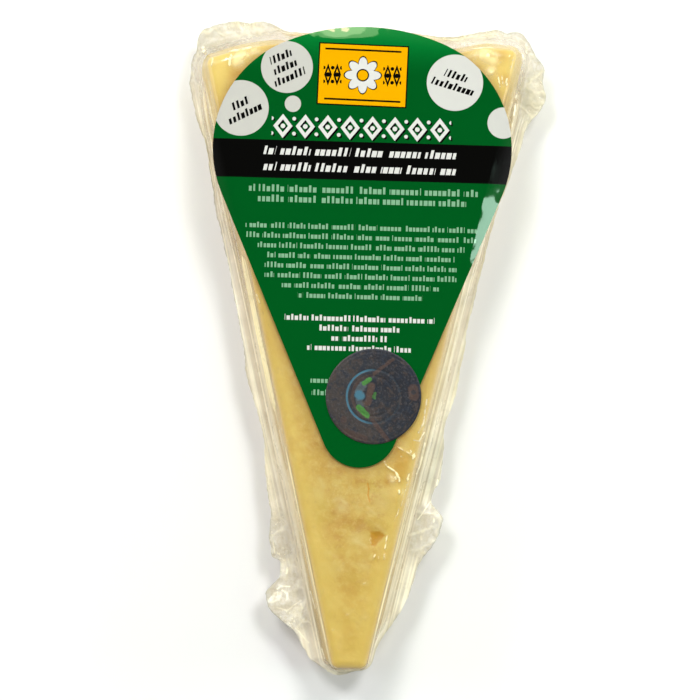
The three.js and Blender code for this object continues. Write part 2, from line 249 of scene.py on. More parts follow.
DIMPLES = (  # x, y, radius, depth
    (6.8, 34, 3.2, 0.45), (4.1, 47, 2.2, 0.3), (-7, 38, 6, 0.4), (0, 20, 5, 0.35), (11.5, 46, 3, -0.5),
    (-4, 11, 4, 0.3),
)
DIMPLES_END = (44, 52)  # the face is flat from here on, under the label
BLISTERS = (  # air under the film: x, y, radius, height
    (10.7, 50.4, 1.4, 0.6), (12.5, 47, 0.6, 0.45), (12.8, 56.5, 0.8, 0.3), (5.3, 29.4, 0.7, 0.3),
    (3.6, 22.2, 0.9, 0.25), (-0.9, 13.4, 0.8, 0.25), (-4.7, 9.2, 0.6, 0.2), (0.4, 8.4, 0.5, 0.2),
    (-34.5, 156, 1.6, 0.4), (34, 165.1, 1.7, 0.5), (35.2, 160.7, 1.1, 0.4),
)
CREASES = (  # folds of the film on the face, which raise it and are also painted bright as highlights: x, y to x, y, width, height
    (11.3, 59.4, 16.6, 56.6, 0.4, 0.34), (15.3, 58.4, 15.9, 57.9, 0.35, 0.5),
    (16.1, 57, 16.5, 56.4, 0.45, 0.55), (8.3, 55.4, 9, 53.9, 0.32, 0.34), (9, 53.9, 11.5, 52.4, 0.32, 0.5),
    (11.5, 52.4, 12.8, 50.2, 0.36, 0.6), (12.8, 50.2, 12.3, 49.5, 0.4, 0.6),
    (12.5, 47.8, 12.5, 46.2, 0.4, 0.5), (12.6, 56.9, 13.2, 56.2, 0.6, 0.3),
    (15.2, 52.3, 14.6, 50, 0.4, 0.5), (16.9, 58.6, 16, 55.2, 0.4, 0.35), (5.7, 28.4, 6.6, 30.2, 0.35, 0.4),
    (9.1, 30.4, 8.8, 28.5, 0.4, 0.5), (7.2, 29.6, 7.6, 28.4, 0.35, 0.3), (7.8, 33.4, 11.4, 36.6, 0.5, 0.16),
    (9.2, 31.2, 10.8, 34.6, 0.5, 0.16), (-1, 35.2, 5, 32, 0.6, 0.12), (2.9, 21.9, 4.6, 22.4, 0.45, 0.24),
    (-1.4, 13.3, -0.4, 13.7, 0.4, 0.24), (-5.3, 9.2, -4, 9.4, 0.35, 0.22),
    (-0.2, 8.3, 0.9, 8.6, 0.35, 0.18), (2.6, 17.2, 3.2, 17.4, 0.35, 0.2),
    (-4.2, 43.6, -1.4, 44.4, 0.7, 0.14), (-27.2, 99.9, -25.9, 96.6, 0.3, 0.5),
    (-25.9, 96.6, -24.6, 93.2, 0.25, 0.3), (-24.6, 93.2, -22.6, 89.4, 0.25, 0.2),
    (-27.4, 92, -22.8, 86.6, 0.25, 0.24), (-22.8, 86.6, -18.3, 83.5, 0.25, 0.16),
    (-26.8, 90, -20.4, 82.2, 0.25, 0.16), (-39.2, 158.6, -38.4, 153.4, 0.35, 0.12),
    (33, 165.4, 34.6, 165, 1.6, 0.12), (34.8, 161.2, 35.6, 160.4, 1.0, 0.12),
)
GLEAMS = (  # painted highlights of folds that hardly stand up: x, y to x, y, half width, strength
    (-40.2, 163.6, -40.5, 160.6, 0.4, 0.6), (-40.3, 165.2, -36.4, 165.7, 0.3, 0.6),
    (-35.1, 164.5, -35.5, 163.2, 0.3, 0.9), (-35.5, 163.4, -35.7, 160.9, 0.35, 0.95),
    (-36.4, 165.3, -32.9, 165.4, 0.4, 0.9), (-32.9, 165.4, -29.6, 166.4, 0.4, 0.9),
    (-36.4, 157.4, -36, 153, 0.3, 0.3), (29.1, 167.2, 36.4, 167.8, 0.4, 0.7),
    (36.9, 160.1, 37.6, 156.4, 0.3, 0.7), (37.9, 160.3, 38.3, 156.8, 0.25, 0.6),
    (39.3, 159.5, 39.3, 157, 0.3, 0.8), (41.2, 166.4, 40.2, 161.2, 0.4, 0.5),
    (36.6, 163, 38.8, 164.2, 0.35, 0.4), (33.5, 165.4, 34.7, 165.2, 0.6, 0.9),
    (34.9, 161, 35.3, 160.5, 0.5, 0.8), (11.2, 51.3, 11.9, 50, 0.5, 0.5),
    (15.2, 50.6, 13.6, 44.6, 0.25, 0.7), (13.6, 44.6, 11.2, 38.6, 0.25, 0.6),
    (9.6, 35.2, 8.9, 31, 0.25, 0.6),
)
PAINTED_GLOWS = (  # broad painted highlights of the film at the rind end's corners: x, y, radius, strength
    (-33.4, 163.5, 2.2, 0.8), (-31, 164.5, 1.9, 0.75), (-34.2, 161.9, 1.4, 0.5), (-28.9, 165.5, 1.4, 0.6),
    (-40.4, 162.2, 1.2, 0.5), (34.2, 165.3, 2.2, 1.0), (32, 166.2, 1.8, 0.7), (35.8, 164, 1.5, 0.6),
    (35, 160.8, 1.4, 0.9), (30, 165.2, 1.8, 0.5), (10.6, 50.3, 1.1, 1.0),
)
DULL_PLACES = (  # where the loose film is greyer: x, y, radius, strength
    (48, 153.5, 4.2, 1.0), (44.6, 147, 3.2, 0.6), (-42, 167.3, 3.8, 0.9), (-35.5, 168.8, 3.8, 0.75),
    (-28.5, 170, 3.2, 0.6), (-23, 171, 2.5, 0.6), (39.5, 170, 3, 0.5), (22.6, 58.5, 3.6, 0.9),
    (20.5, 50.5, 3.4, 0.9), (28.7, 99, 2.2, 0.6), (13.5, 17.8, 3, 0.5), (-15.5, 17, 2.6, 0.5),
    (-13, 9.5, 2.4, 0.4),
)
SIDE_LINE_LEFT, SIDE_LINE_RIGHT = (60, 72, 106, 116), (46, 54, 78, 90)  # painted highlights on folds of the side film
CREAM_RIGHT = (22, 36, 110, 130)  # where the right side's film stands off the cheese and is milky
HEM = 0.55  # width of the film's thicker outer edge
CREASE_SPACING, CREASE_NEAR = 0.3, 1.0  # the film's mesh is this fine, within this much of a crease
CRACK = ((4.0, 49.1), (4.4, 47.6), (4.2, 46), (4.6, 44.2))  # a crack of the cheese
CRACK_WIDTH = 0.38
CRACK_DEPTH = 0.2
PIT = ((5, 36), (7.6, 36.3), (9.1, 35.1), (6.3, 32), (5.2, 32.2))  # corners of a flaked pit of the cheese
PIT_DEPTH = 0.25
AMBER_PATCHES = (  # x, y, radius, strength
    (-33, 158.8, 2.6, 0.75), (37.8, 165.5, 1.9, 0.5), (39, 159, 1.6, 0.55), (9.2, 49.6, 0.9, 0.8),
    (13.4, 62, 1.0, 0.6), (14.9, 64, 1.0, 0.5), (11.9, 58.4, 0.7, 0.5),
)
BARE_DEPTH = 0.5  # how far the bare patch is towards the full amber
BARE_PATCH = ((12.3, 58.8), (16.0, 56.7), (15.0, 52.4), (13.2, 48.9), (9.4, 49.8), (11.0, 53.3))
PALE_MARKS = (  # pale curved marks in the cheese, some of them painted highlights of the film's small folds and blisters: x, y to x, y, half width, strength
    (-5.4, 43.9, -3.7, 45.1, 0.45, 0.5), (-3.7, 45.1, -1.3, 43.4, 0.45, 0.7),
    (3.6, 43.1, 7.1, 40.2, 0.4, 0.45), (6.1, 38.3, 10, 35.4, 0.5, 0.6), (5.3, 31.7, 7.6, 33.4, 0.4, 0.6),
    (7.6, 33.4, 11, 35.5, 0.4, 0.5), (0.3, 33.8, 4.8, 31.7, 0.5, 0.5), (2.8, 21.7, 5, 22, 0.4, 0.8),
    (5.7, 30.3, 5.3, 28.4, 0.4, 0.8), (9, 30.4, 9.2, 29, 0.4, 0.8), (-5.2, 9.3, -4.2, 9.5, 0.35, 0.7),
    (-0.9, 13.5, 0.2, 13.9, 0.4, 0.7), (-0.2, 8.2, 0.7, 8.5, 0.35, 0.6), (-13.5, 60, -11, 57.5, 0.4, 0.4),
    (-9.5, 51, -7.5, 47.5, 0.5, 0.4), (-10, 36.5, -8.6, 33, 0.4, 0.3), (-6.5, 30.5, -3.6, 28.8, 0.4, 0.4),
    (1.8, 27.4, 4.4, 26.2, 0.4, 0.3),
)
PALE_SPOTS = (  # where the cheese is paler: x, y, radius, strength
    (-2.6, 42.4, 1.8, 0.8), (1.5, 34, 2.0, 0.5), (9, 44, 4, 0.5), (-9, 47, 3, 0.35), (4, 27, 2, 0.4),
    (-5, 26, 3, 0.3), (13, 61, 3, 0.4), (7, 16, 2, 0.4), (14, 59.2, 1.5, 0.7),
)


def bumps(table, x, y):
    return sum(h * np.exp(-((x - cx) ** 2 + (y - cy) ** 2) / r**2) for cx, cy, r, h in table)


def ridges(table, x, y):
    """Ridges along straight stretches, fading out at both ends."""
    total = np.zeros_like(x)
    for ax, ay, bx, by, width, height in table:
        length = math.hypot(bx - ax, by - ay)
        u = ((x - ax) * (bx - ax) + (y - ay) * (by - ay)) / length**2
        v = ((x - ax) * (by - ay) - (y - ay) * (bx - ax)) / length
        fade = smoothstep(u, -0.15, 0.25) * (1 - smoothstep(u, 0.75, 1.15))
        total += height * fade * np.exp(-((v / width) ** 2))
    return total


def face_relief(x, y):
    return -bumps(DIMPLES, x, y) * (1 - smoothstep(y, *DIMPLES_END))


def film_relief(x, y):
    """The film's relief, which the stiff label presses flat."""
    free = smoothstep(-depth_inside(LABEL_OUTLINE, np.column_stack([x, y])), *LABEL_PRESSES)
    return face_relief(x, y) + free * (bumps(BLISTERS, x, y) + ridges(CREASES, x, y))


def rough_field(points, size, octaves, seed):
    """Smooth random values round 0 at each point, size being the widest features' width."""
    shift = Vector((seed * 7.31, seed * 3.17, seed * 5.73))
    return np.array([noise.fractal(Vector(p) / size + shift, 0.9, 2.1, octaves) for p in points])


def cheese_relief(x, y):
    crack = [(*a, *b, CRACK_WIDTH, CRACK_DEPTH) for a, b in zip(CRACK, CRACK[1:])]
    points = np.column_stack([x, y, np.zeros_like(x)])
    grain = 0.10 * rough_field(points, 6, 4, 1) + 0.05 * rough_field(points, 1.6, 3, 2)
    pit = PIT_DEPTH * smoothstep(depth_inside(np.array(PIT), points[:, :2]), -0.3, 1.2)
    return face_relief(x, y) - ridges(crack, x, y) - pit + grain


# ---- Meshes

def spots_inside(outline, spacing, margin, keep=None):
    """A staggered grid of points inside an outline and at least a margin away from it."""
    low, high = outline.min(0), outline.max(0)
    rows = np.arange(low[1], high[1], spacing * math.sqrt(0.75))
    across = np.arange(low[0], high[0], spacing)
    spots = np.array([(x + spacing / 2 * (j % 2), y) for j, y in enumerate(rows) for x in across])
    if keep is not None:
        spots = spots[keep(spots)]
    return spots[depth_inside(outline, spots) > margin]


def filled(outline, spots):
    """Triangles that fill an outline with spots inside it, counterclockwise; numbers from len(outline) on are
    the spots."""
    points = [Vector(p) for p in (*outline, *spots)]
    result = geometry.delaunay_2d_cdt(points, [], [list(range(len(outline)))], 1, 1e-7)
    sources = [min(source) for source in result[3]]
    triangles = np.array([[sources[i] for i in face] for face in result[2]])
    corner = np.array([tuple(p) for p in points])[triangles]
    first, second = corner[:, 1] - corner[:, 0], corner[:, 2] - corner[:, 0]
    clockwise = first[:, 0] * second[:, 1] - first[:, 1] * second[:, 0] < 0
    triangles[clockwise] = triangles[clockwise][:, ::-1]
    return triangles


def bands(rings, count):
    """The quads between successive rings of as many vertices, the first ring nearest to the face's middle."""
    i = np.arange(count)
    after = (i + 1) % count
    return np.vstack([
        np.column_stack([k * count + i, (k + 1) * count + i, (k + 1) * count + after, k * count + after])
        for k in range(rings - 1)
    ])


def placed(name, vertices, faces, material, values=None, vectors=None):
    """An object from millimetre vertices. Vertices at one place are merged, and their attributes too."""
    mesh = bpy.data.meshes.new(name)
    mesh.from_pydata(((np.asarray(vertices) + ORIGIN) * MM).tolist(), [], [list(map(int, f)) for f in faces])
    for key, data in (values or {}).items():
        mesh.attributes.new(key, "FLOAT", "POINT").data.foreach_set("value", np.asarray(data, np.float32))
    for key, data in (vectors or {}).items():
        attribute = mesh.attributes.new(key, "FLOAT_VECTOR", "POINT")
        attribute.data.foreach_set("vector", np.asarray(data, np.float32).ravel())
    work = bmesh_of(mesh)
    work.to_mesh(mesh)
    work.free()
    mesh.materials.append(material)
    mesh.shade_smooth()
    piece = bpy.data.objects.new(name, mesh)
    bpy.context.scene.collection.objects.link(piece)
    return piece


def bmesh_of(mesh):
    """The mesh with vertices at one place merged, which drops the faces that a corner folds to a line."""
    work = bmesh.new()
    work.from_mesh(mesh)
    bmesh.ops.remove_doubles(work, verts=work.verts, dist=1e-7)
    return work


def smooth_rows(rows, counts):
    """Rows of values, one for each control point of a section, with smooth rows put in each span."""
    padded = [rows[0], *rows, rows[-1]]
    result = []
    for *four, count in zip(padded, padded[1:], padded[2:], padded[3:], counts):
        result += [curve(*four, t) for t in np.arange(count) / count]
    return np.array([*result, rows[-1]])


def even_rows(values, counts):
    """The same spans as smooth_rows, for one plain number at each control point."""
    inner = [
        a + (b - a) * t for a, b, count in zip(values, values[1:], counts) for t in np.arange(count) / count
    ]
    return np.array([*inner, values[-1]])


# ---- Wiring of node trees

SOFT_EDGE = 0.05  # width over which printed shapes fade, in millimetres


class Wiring:
    """Puts nodes into a tree; an input may be given another node's output or a plain value."""

    def __init__(self, tree):
        self.tree = tree

    def feed(self, socket, value):
        if isinstance(value, bpy.types.NodeSocket):
            self.tree.links.new(value, socket)
        else:
            socket.default_value = value

    def put(self, kind, sockets=None, **settings):
        node = self.tree.nodes.new(kind)
        for name, value in settings.items():
            setattr(node, name, value)
        for key, value in (sockets or {}).items():
            self.feed(node.inputs[key], value)
        return node

    def math(self, operation, *values, clamp=False):
        node = self.put("ShaderNodeMath", dict(enumerate(values)), operation=operation, use_clamp=clamp)
        return node.outputs[0]

    def chained(self, operation, first, *values, clamp=False):
        """One number from several, taken in turn."""
        *inner, last = values
        for value in inner:
            first = self.math(operation, first, value)
        return self.math(operation, first, last, clamp=clamp)

    def plus(self, *values, clamp=False):
        return self.chained("ADD", *values, clamp=clamp)

    def times(self, *values, clamp=False):
        return self.chained("MULTIPLY", *values, clamp=clamp)

    def most(self, *values):
        return self.chained("MAXIMUM", *values)

    def least(self, *values):
        return self.chained("MINIMUM", *values)

    def minus(self, a, b):
        return self.math("SUBTRACT", a, b)

    def over(self, a, b, clamp=False):
        return self.math("DIVIDE", a, b, clamp=clamp)

    def absolute(self, value):
        return self.math("ABSOLUTE", value)

    def ridged(self, value, sharpness):
        """1 where a cloudy value crosses its middle, less to both sides."""
        return self.minus(1.0, self.times(self.absolute(self.minus(value, 0.5)), sharpness, clamp=True))

    def printed(self, inside):
        """A printed shape's mask, from how far inside the shape a point lies."""
        return self.between(inside, -SOFT_EDGE, SOFT_EDGE)

    def within(self, value, end):
        """1 where a value is between 0 and an end."""
        return self.times(self.math("GREATER_THAN", value, 0.0), self.math("LESS_THAN", value, end))

    def turned(self, vector, middle, angle):
        sockets = {"Vector": vector, "Center": middle, "Angle": angle}
        return self.put("ShaderNodeVectorRotate", sockets, rotation_type="Z_AXIS").outputs[0]

    def vector(self, operation, *values):
        node = self.put("ShaderNodeVectorMath", dict(enumerate(values)), operation=operation)
        return node.outputs["Value" if operation in ("LENGTH", "DISTANCE", "DOT_PRODUCT") else "Vector"]

    def scaled(self, vector, factor):
        node = self.put("ShaderNodeVectorMath", {0: vector, "Scale": factor}, operation="SCALE")
        return node.outputs["Vector"]

    def parts(self, vector):
        return self.put("ShaderNodeSeparateXYZ", {0: vector}).outputs[:3]

    def joined(self, x=0.0, y=0.0, z=0.0):
        return self.put("ShaderNodeCombineXYZ", {0: x, 1: y, 2: z}).outputs[0]

    def mix(self, factor, a, b):
        """Colour a, or colour b where the factor is 1."""
        return self.put("ShaderNodeMix", {0: factor, 6: a, 7: b}, data_type="RGBA").outputs[2]

    def ramp(self, value, stops, interpolation="LINEAR"):
        node = self.put("ShaderNodeValToRGB", {0: value})
        elements = node.color_ramp.elements
        node.color_ramp.interpolation = interpolation
        for i, (place, colour) in enumerate(stops):
            element = elements[i] if i < 2 else elements.new(place)
            element.position, element.color = place, colour
        return node.outputs["Color"]

    def between(self, value, low, high, to_low=0.0, to_high=1.0):
        """A value taken from one range to another and held at its ends."""
        sockets = {0: value, 1: low, 2: high, 3: to_low, 4: to_high}
        return self.put("ShaderNodeMapRange", sockets, interpolation_type="SMOOTHSTEP").outputs[0]

    def noise(self, vector, size, detail=2.0, roughness=0.5, seed=0.0, swirling=0.0):
        """Cloudy values from 0 to 1 whose features are about this wide, in the vector's own unit."""
        sockets = {
            "Vector": vector, "W": seed, "Detail": detail, "Roughness": roughness, "Distortion": swirling,
        }
        node = self.put("ShaderNodeTexNoise", sockets, noise_dimensions="4D")
        self.feed(node.inputs["Scale"], self.over(1.0, size))
        return node.outputs[0]

    def group(self, tree, **sockets):
        kind = "GeometryNodeGroup" if tree.bl_idname == "GeometryNodeTree" else "ShaderNodeGroup"
        named = {key.replace("_", " "): value for key, value in sockets.items()}
        return self.put(kind, named, node_tree=tree).outputs[0]


STUDIO_LIGHT = 1.4  # how many times its own colour a matt surface shows under the studio's lights


def colour(red, green, blue):
    """The surface colour that shows as this one, from 0 to 255, under the studio's lights."""
    def linear(c):
        c /= 255
        return (c / 12.92 if c <= 0.04045 else ((c + 0.055) / 1.055) ** 2.4) / STUDIO_LIGHT

    return (linear(red), linear(green), linear(blue), 1.0)


def grey(value):
    return (value, value, value, 1.0)


SOCKETS = {float: "NodeSocketFloat", int: "NodeSocketInt", tuple: "NodeSocketVector"}
ZERO = (0.0, 0.0, 0.0)


def add_inputs(tree, inputs):
    """Gives a tree named inputs and their first values. An underscore in a name stands for a space."""
    for key, value in inputs.items():
        name, kind = key.replace("_", " "), SOCKETS[type(value)]
        tree.interface.new_socket(name, in_out="INPUT", socket_type=kind).default_value = value


def effect(name, output, **inputs):
    """Makes a shader node group of the function below it, which wires the inputs to the output."""
    def grouped(build):
        tree = bpy.data.node_groups.new(name, "ShaderNodeTree")
        add_inputs(tree, inputs)
        tree.interface.new_socket(output, in_out="OUTPUT", socket_type="NodeSocketFloat")
        wiring, given = Wiring(tree), tree.nodes.new("NodeGroupInput").outputs
        wiring.feed(tree.nodes.new("NodeGroupOutput").inputs[output], build(wiring, given))
        return tree

    return grouped


# ---- Effects, each a node group

@effect("fine wrinkles", "Height", Point=ZERO, Size=3.0, Creases=0.35, Seed=0.0)
def fine_wrinkles(w, given):
    """Fine wrinkles of film that is drawn over something: soft swells with sharp creases across them."""
    swell = w.noise(given["Point"], given["Size"], 2.0, 0.5, given["Seed"])
    crossing = w.noise(given["Point"], w.times(given["Size"], 0.45), 3.0, 0.55, w.plus(given["Seed"], 4.0))
    return w.plus(w.times(swell, 0.65), w.times(w.ridged(crossing, 6.0), given["Creases"]))


@effect("printed disc", "Mask", Point=ZERO, Middle=ZERO, Radius=1.0)
def printed_disc(w, given):
    return w.printed(w.minus(given["Radius"], w.vector("DISTANCE", given["Point"], given["Middle"])))


@effect("printed box", "Mask", Point=ZERO, Middle=ZERO, Width=1.0, Height=1.0, Tilt=0.0)
def printed_box(w, given):
    turned = w.turned(given["Point"], given["Middle"], w.times(given["Tilt"], -1.0))
    x, y, _ = w.parts(w.vector("ABSOLUTE", w.vector("SUBTRACT", turned, given["Middle"])))
    across, up = w.minus(w.times(given["Width"], 0.5), x), w.minus(w.times(given["Height"], 0.5), y)
    return w.printed(w.least(across, up))


@effect("line number", "Line", Point=ZERO, Top=0.0, Pitch=1.0)
def line_number(w, given):
    """Which line of a block of print a point is on, counted down from its top."""
    _, y, _ = w.parts(given["Point"])
    return w.over(w.minus(given["Top"], y), given["Pitch"])


@effect(
    "word bars", "Mask", Point=ZERO, Line=0.0, Lines=1.0, Pitch=2.7, Height=1.2, Slant=0.0, Middle=0.0,
    Half_Width=20.0, Word=6.0, Gap=0.9, Block=1.0,
)
def word_bars(w, given):
    """Rows of small upright blocks, grouped as words are, on each line of a centred block of print."""
    line = w.math("FLOOR", given["Line"])
    down = w.times(w.math("FRACT", given["Line"]), given["Pitch"])
    x, _, _ = w.parts(given["Point"])
    off = w.minus(w.plus(x, w.times(down, given["Slant"])), given["Middle"])
    place = w.plus(w.over(off, given["Word"]), w.times(line, 37.3))
    words = w.put(
        "ShaderNodeTexVoronoi", {"W": place, "Scale": 1.0, "Randomness": 0.75},
        voronoi_dimensions="1D", feature="DISTANCE_TO_EDGE",
    ).outputs["Distance"]
    gap = w.minus(w.times(words, given["Word"]), w.times(given["Gap"], 0.5))
    block = w.over(off, given["Block"])
    cell = w.plus(w.math("FLOOR", block), w.times(line, 71.0))
    chance = w.put("ShaderNodeTexWhiteNoise", {"W": cell}, noise_dimensions="1D").outputs["Value"]
    from_middle = w.absolute(w.minus(w.math("FRACT", block), 0.5))
    narrow = w.times(w.minus(w.between(chance, 0.0, 1.0, 0.25, 0.43), from_middle), given["Block"])
    lowered = w.minus(0.28, w.times(w.math("LESS_THAN", chance, 0.3), 0.28))
    upright = w.least(w.minus(given["Height"], down), w.minus(down, w.times(given["Height"], lowered)))
    reach = w.minus(given["Half Width"], w.absolute(off))
    return w.times(w.printed(w.least(gap, reach, narrow, upright)), w.within(given["Line"], given["Lines"]))


@effect("lozenge row", "Mask", Point=ZERO, Start=ZERO, Pitch=6.0, Height=6.5, Count=8.0)
def lozenge_row(w, given):
    """A row of upright lozenges, each hollow with a dot in it, and a dot between each two."""
    x, y, _ = w.parts(w.vector("SUBTRACT", given["Point"], given["Start"]))
    high = w.absolute(y)
    place = w.over(x, given["Pitch"])
    across = w.times(w.minus(w.math("FRACT", place), 0.5), given["Pitch"])
    half = w.times(given["Height"], 0.5)
    slope = w.over(half, w.times(given["Pitch"], 0.43))
    diamond = w.plus(w.times(w.absolute(across), slope), high)
    hollow = w.printed(w.minus(w.times(half, 0.54), diamond))
    rim = w.minus(w.printed(w.minus(half, diamond)), hollow)
    dot = w.printed(w.minus(0.62, w.vector("LENGTH", w.joined(across, y))))
    aside = w.minus(w.times(given["Pitch"], 0.5), w.absolute(across))
    bead_off = w.vector("LENGTH", w.joined(aside, w.minus(high, w.times(half, 0.62))))
    return w.times(w.most(rim, dot, w.printed(w.minus(0.5, bead_off))), w.within(place, given["Count"]))


@effect("rosette", "Height", Point=ZERO, Middle=ZERO, Radius=4.0, Petals=8.0)
def rosette(w, given):
    """A flower of round petals. The height is above 0 inside it, in millimetres."""
    x, y, _ = w.parts(w.vector("SUBTRACT", given["Point"], given["Middle"]))
    turn = w.times(w.math("ARCTAN2", y, x), w.times(given["Petals"], 0.5))
    petal = w.plus(0.66, w.times(w.absolute(w.math("COSINE", turn)), 0.34))
    return w.minus(w.times(petal, given["Radius"]), w.vector("LENGTH", w.joined(x, y)))


@effect("thin lines", "Mask", Point=ZERO, Spacing=5.0, Sharpness=12.0, Seed=0.0)
def thin_lines(w, given):
    """Thin wandering lines, 1 on the line and 0 away from it."""
    return w.ridged(w.noise(given["Point"], given["Spacing"], 2.0, 0.4, given["Seed"]), given["Sharpness"])


@effect("soft stroke", "Mask", Point=ZERO, Start=ZERO, End=(1.0, 0.0, 0.0), Width=0.4)
def soft_stroke(w, given):
    """A soft stroke between two points, 1 on its middle line and 0 at its edges."""
    whole = w.vector("SUBTRACT", given["End"], given["Start"])
    off = w.vector("SUBTRACT", given["Point"], given["Start"])
    reached, length = (w.vector("DOT_PRODUCT", part, whole) for part in (off, whole))
    on_line = w.scaled(whole, w.over(reached, length, clamp=True))
    return w.between(w.vector("LENGTH", w.vector("SUBTRACT", off, on_line)), given["Width"], 0.0)


# ---- Materials

class Finish(Wiring):
    """A material with one Principled shader, and the piece's own millimetre coordinates."""

    def __init__(self, name, **plain):
        self.material = bpy.data.materials.new(name)
        self.material.use_nodes = True
        super().__init__(self.material.node_tree)
        self.shader = self.tree.nodes["Principled BSDF"]
        for key, value in plain.items():
            self.shader.inputs[key.replace("_", " ")].default_value = value
        self.point = self.put(
            "ShaderNodeMapping",
            {
                "Vector": self.put("ShaderNodeTexCoord").outputs["Object"],
                "Location": tuple(-ORIGIN),
                "Scale": (1 / MM,) * 3,
            },
        ).outputs[0]

    def attribute(self, name, output="Fac"):
        return self.put("ShaderNodeAttribute", attribute_name=name).outputs[output]

    def share(self, name, factor):
        return self.times(self.attribute(name), factor)

    def shows(self, socket, value):
        self.feed(self.shader.inputs[socket], value)

    def layered(self, tone, layers):
        """A colour with others, each given as its mask and colour, laid over it in turn."""
        for mask, tint in layers:
            tone = self.mix(mask, tone, colour(*tint))
        return tone

    def wandering(self, place, first, second, reach):
        """Places moved about by two cloudy values, so that a shape drawn there has an uneven edge."""
        aside = self.joined(self.minus(first, 0.5), self.minus(second, 0.5))
        return self.vector("ADD", place, self.scaled(aside, reach))

    def stroke(self, place, ax, ay, bx, by, width):
        return self.group(soft_stroke, Point=place, Start=(ax, ay, 0.0), End=(bx, by, 0.0), Width=width)

    def raised(self, height, distance, strength=1.0):
        """Lets a height, in millimetres once it is multiplied by the distance, shade the surface."""
        sockets = {"Height": height, "Distance": distance * MM, "Strength": strength}
        self.shows("Normal", self.put("ShaderNodeBump", sockets).outputs[0])


def cheese_material():
    """Golden hard cheese: cloudy patches, fine grain, paler flecks, and amber where it is broken."""
    f = Finish(
        "golden cheese", Subsurface_Weight=0.15, Subsurface_Radius=(1.0, 0.55, 0.2),
        Subsurface_Scale=1.5 * MM, Coat_Roughness=0.1, Specular_IOR_Level=0.4,
    )
    x, y, _ = f.parts(f.point)
    clouds = f.noise(f.point, 13.0, 3.0, 0.55, 1.0)
    patches = f.noise(f.point, 4.2, 4.0, 0.6, 2.0)
    grain = f.noise(f.point, 0.55, 3.0, 0.6, 3.0)
    flecks = f.noise(f.point, 2.2, 2.0, 0.6, 21.0, 0.8)
    sunk = f.attribute("sunk")
    broad = f.ramp(
        clouds, ((0.34, colour(203, 155, 62)), (0.5, colour(213, 174, 77)), (0.66, colour(219, 186, 86)))
    )
    whole = f.layered(broad, (
        (f.between(patches, 0.5, 0.64, 0.0, 0.6), (227, 199, 110)),
        (f.between(patches, 0.48, 0.36, 0.0, 0.7), (196, 144, 54)),
        (f.between(flecks, 0.6, 0.64, 0.0, 0.3), (234, 206, 124)),
        (f.between(flecks, 0.38, 0.34, 0.0, 0.3), (196, 148, 60)),
        (f.between(grain, 0.5, 0.7, 0.0, 0.35), (236, 208, 128)),
        # paler spots and marks of the cheese, some marks being painted highlights of the film
        (f.share("pale", 0.8), (236, 212, 140)),
        (f.between(y, 46.0, 4.0, 0.0, 0.6), (232, 198, 86)),  # deeper towards the tip
        # yellower near the face's edge, partly painted light that offsets the shade where the edge rounds
        # over
        (f.share("rim", 0.75), (234, 202, 100)),
        # the sides painted lighter to offset the shade that falls on them
        (f.share("side", 0.8), (250, 222, 158)),
        # painted light, brighter yellow at the rind end's corners
        (f.share("corner", 0.8), (252, 220, 112)),
        # painted shade on the cheese beside the label's edge
        (f.share("painted_label_shade", 0.7), (184, 142, 62)),
        (sunk, (202, 146, 14)),
    ))
    flat = f.wandering(f.joined(x, y), patches, grain, 0.8)
    cracked = f.layered(whole, [
        (f.times(f.stroke(flat, *a, *b, CRACK_WIDTH), 0.8), (220, 152, 14)) for a, b in zip(CRACK, CRACK[1:])
    ])
    f.shows("Base Color", cracked)
    f.shows("Roughness", f.between(patches, 0.3, 0.7, 0.42, 0.6))
    f.shows("Coat Weight", f.times(f.between(clouds, 0.3, 0.7, 0.6, 1.0), f.minus(1.0, sunk)))
    taut = f.group(fine_wrinkles, Point=f.point, Size=9.0, Creases=0.06, Seed=5.0)
    f.raised(f.plus(f.times(grain, 0.2), f.times(taut, 1.6)), 0.25)
    return f.material


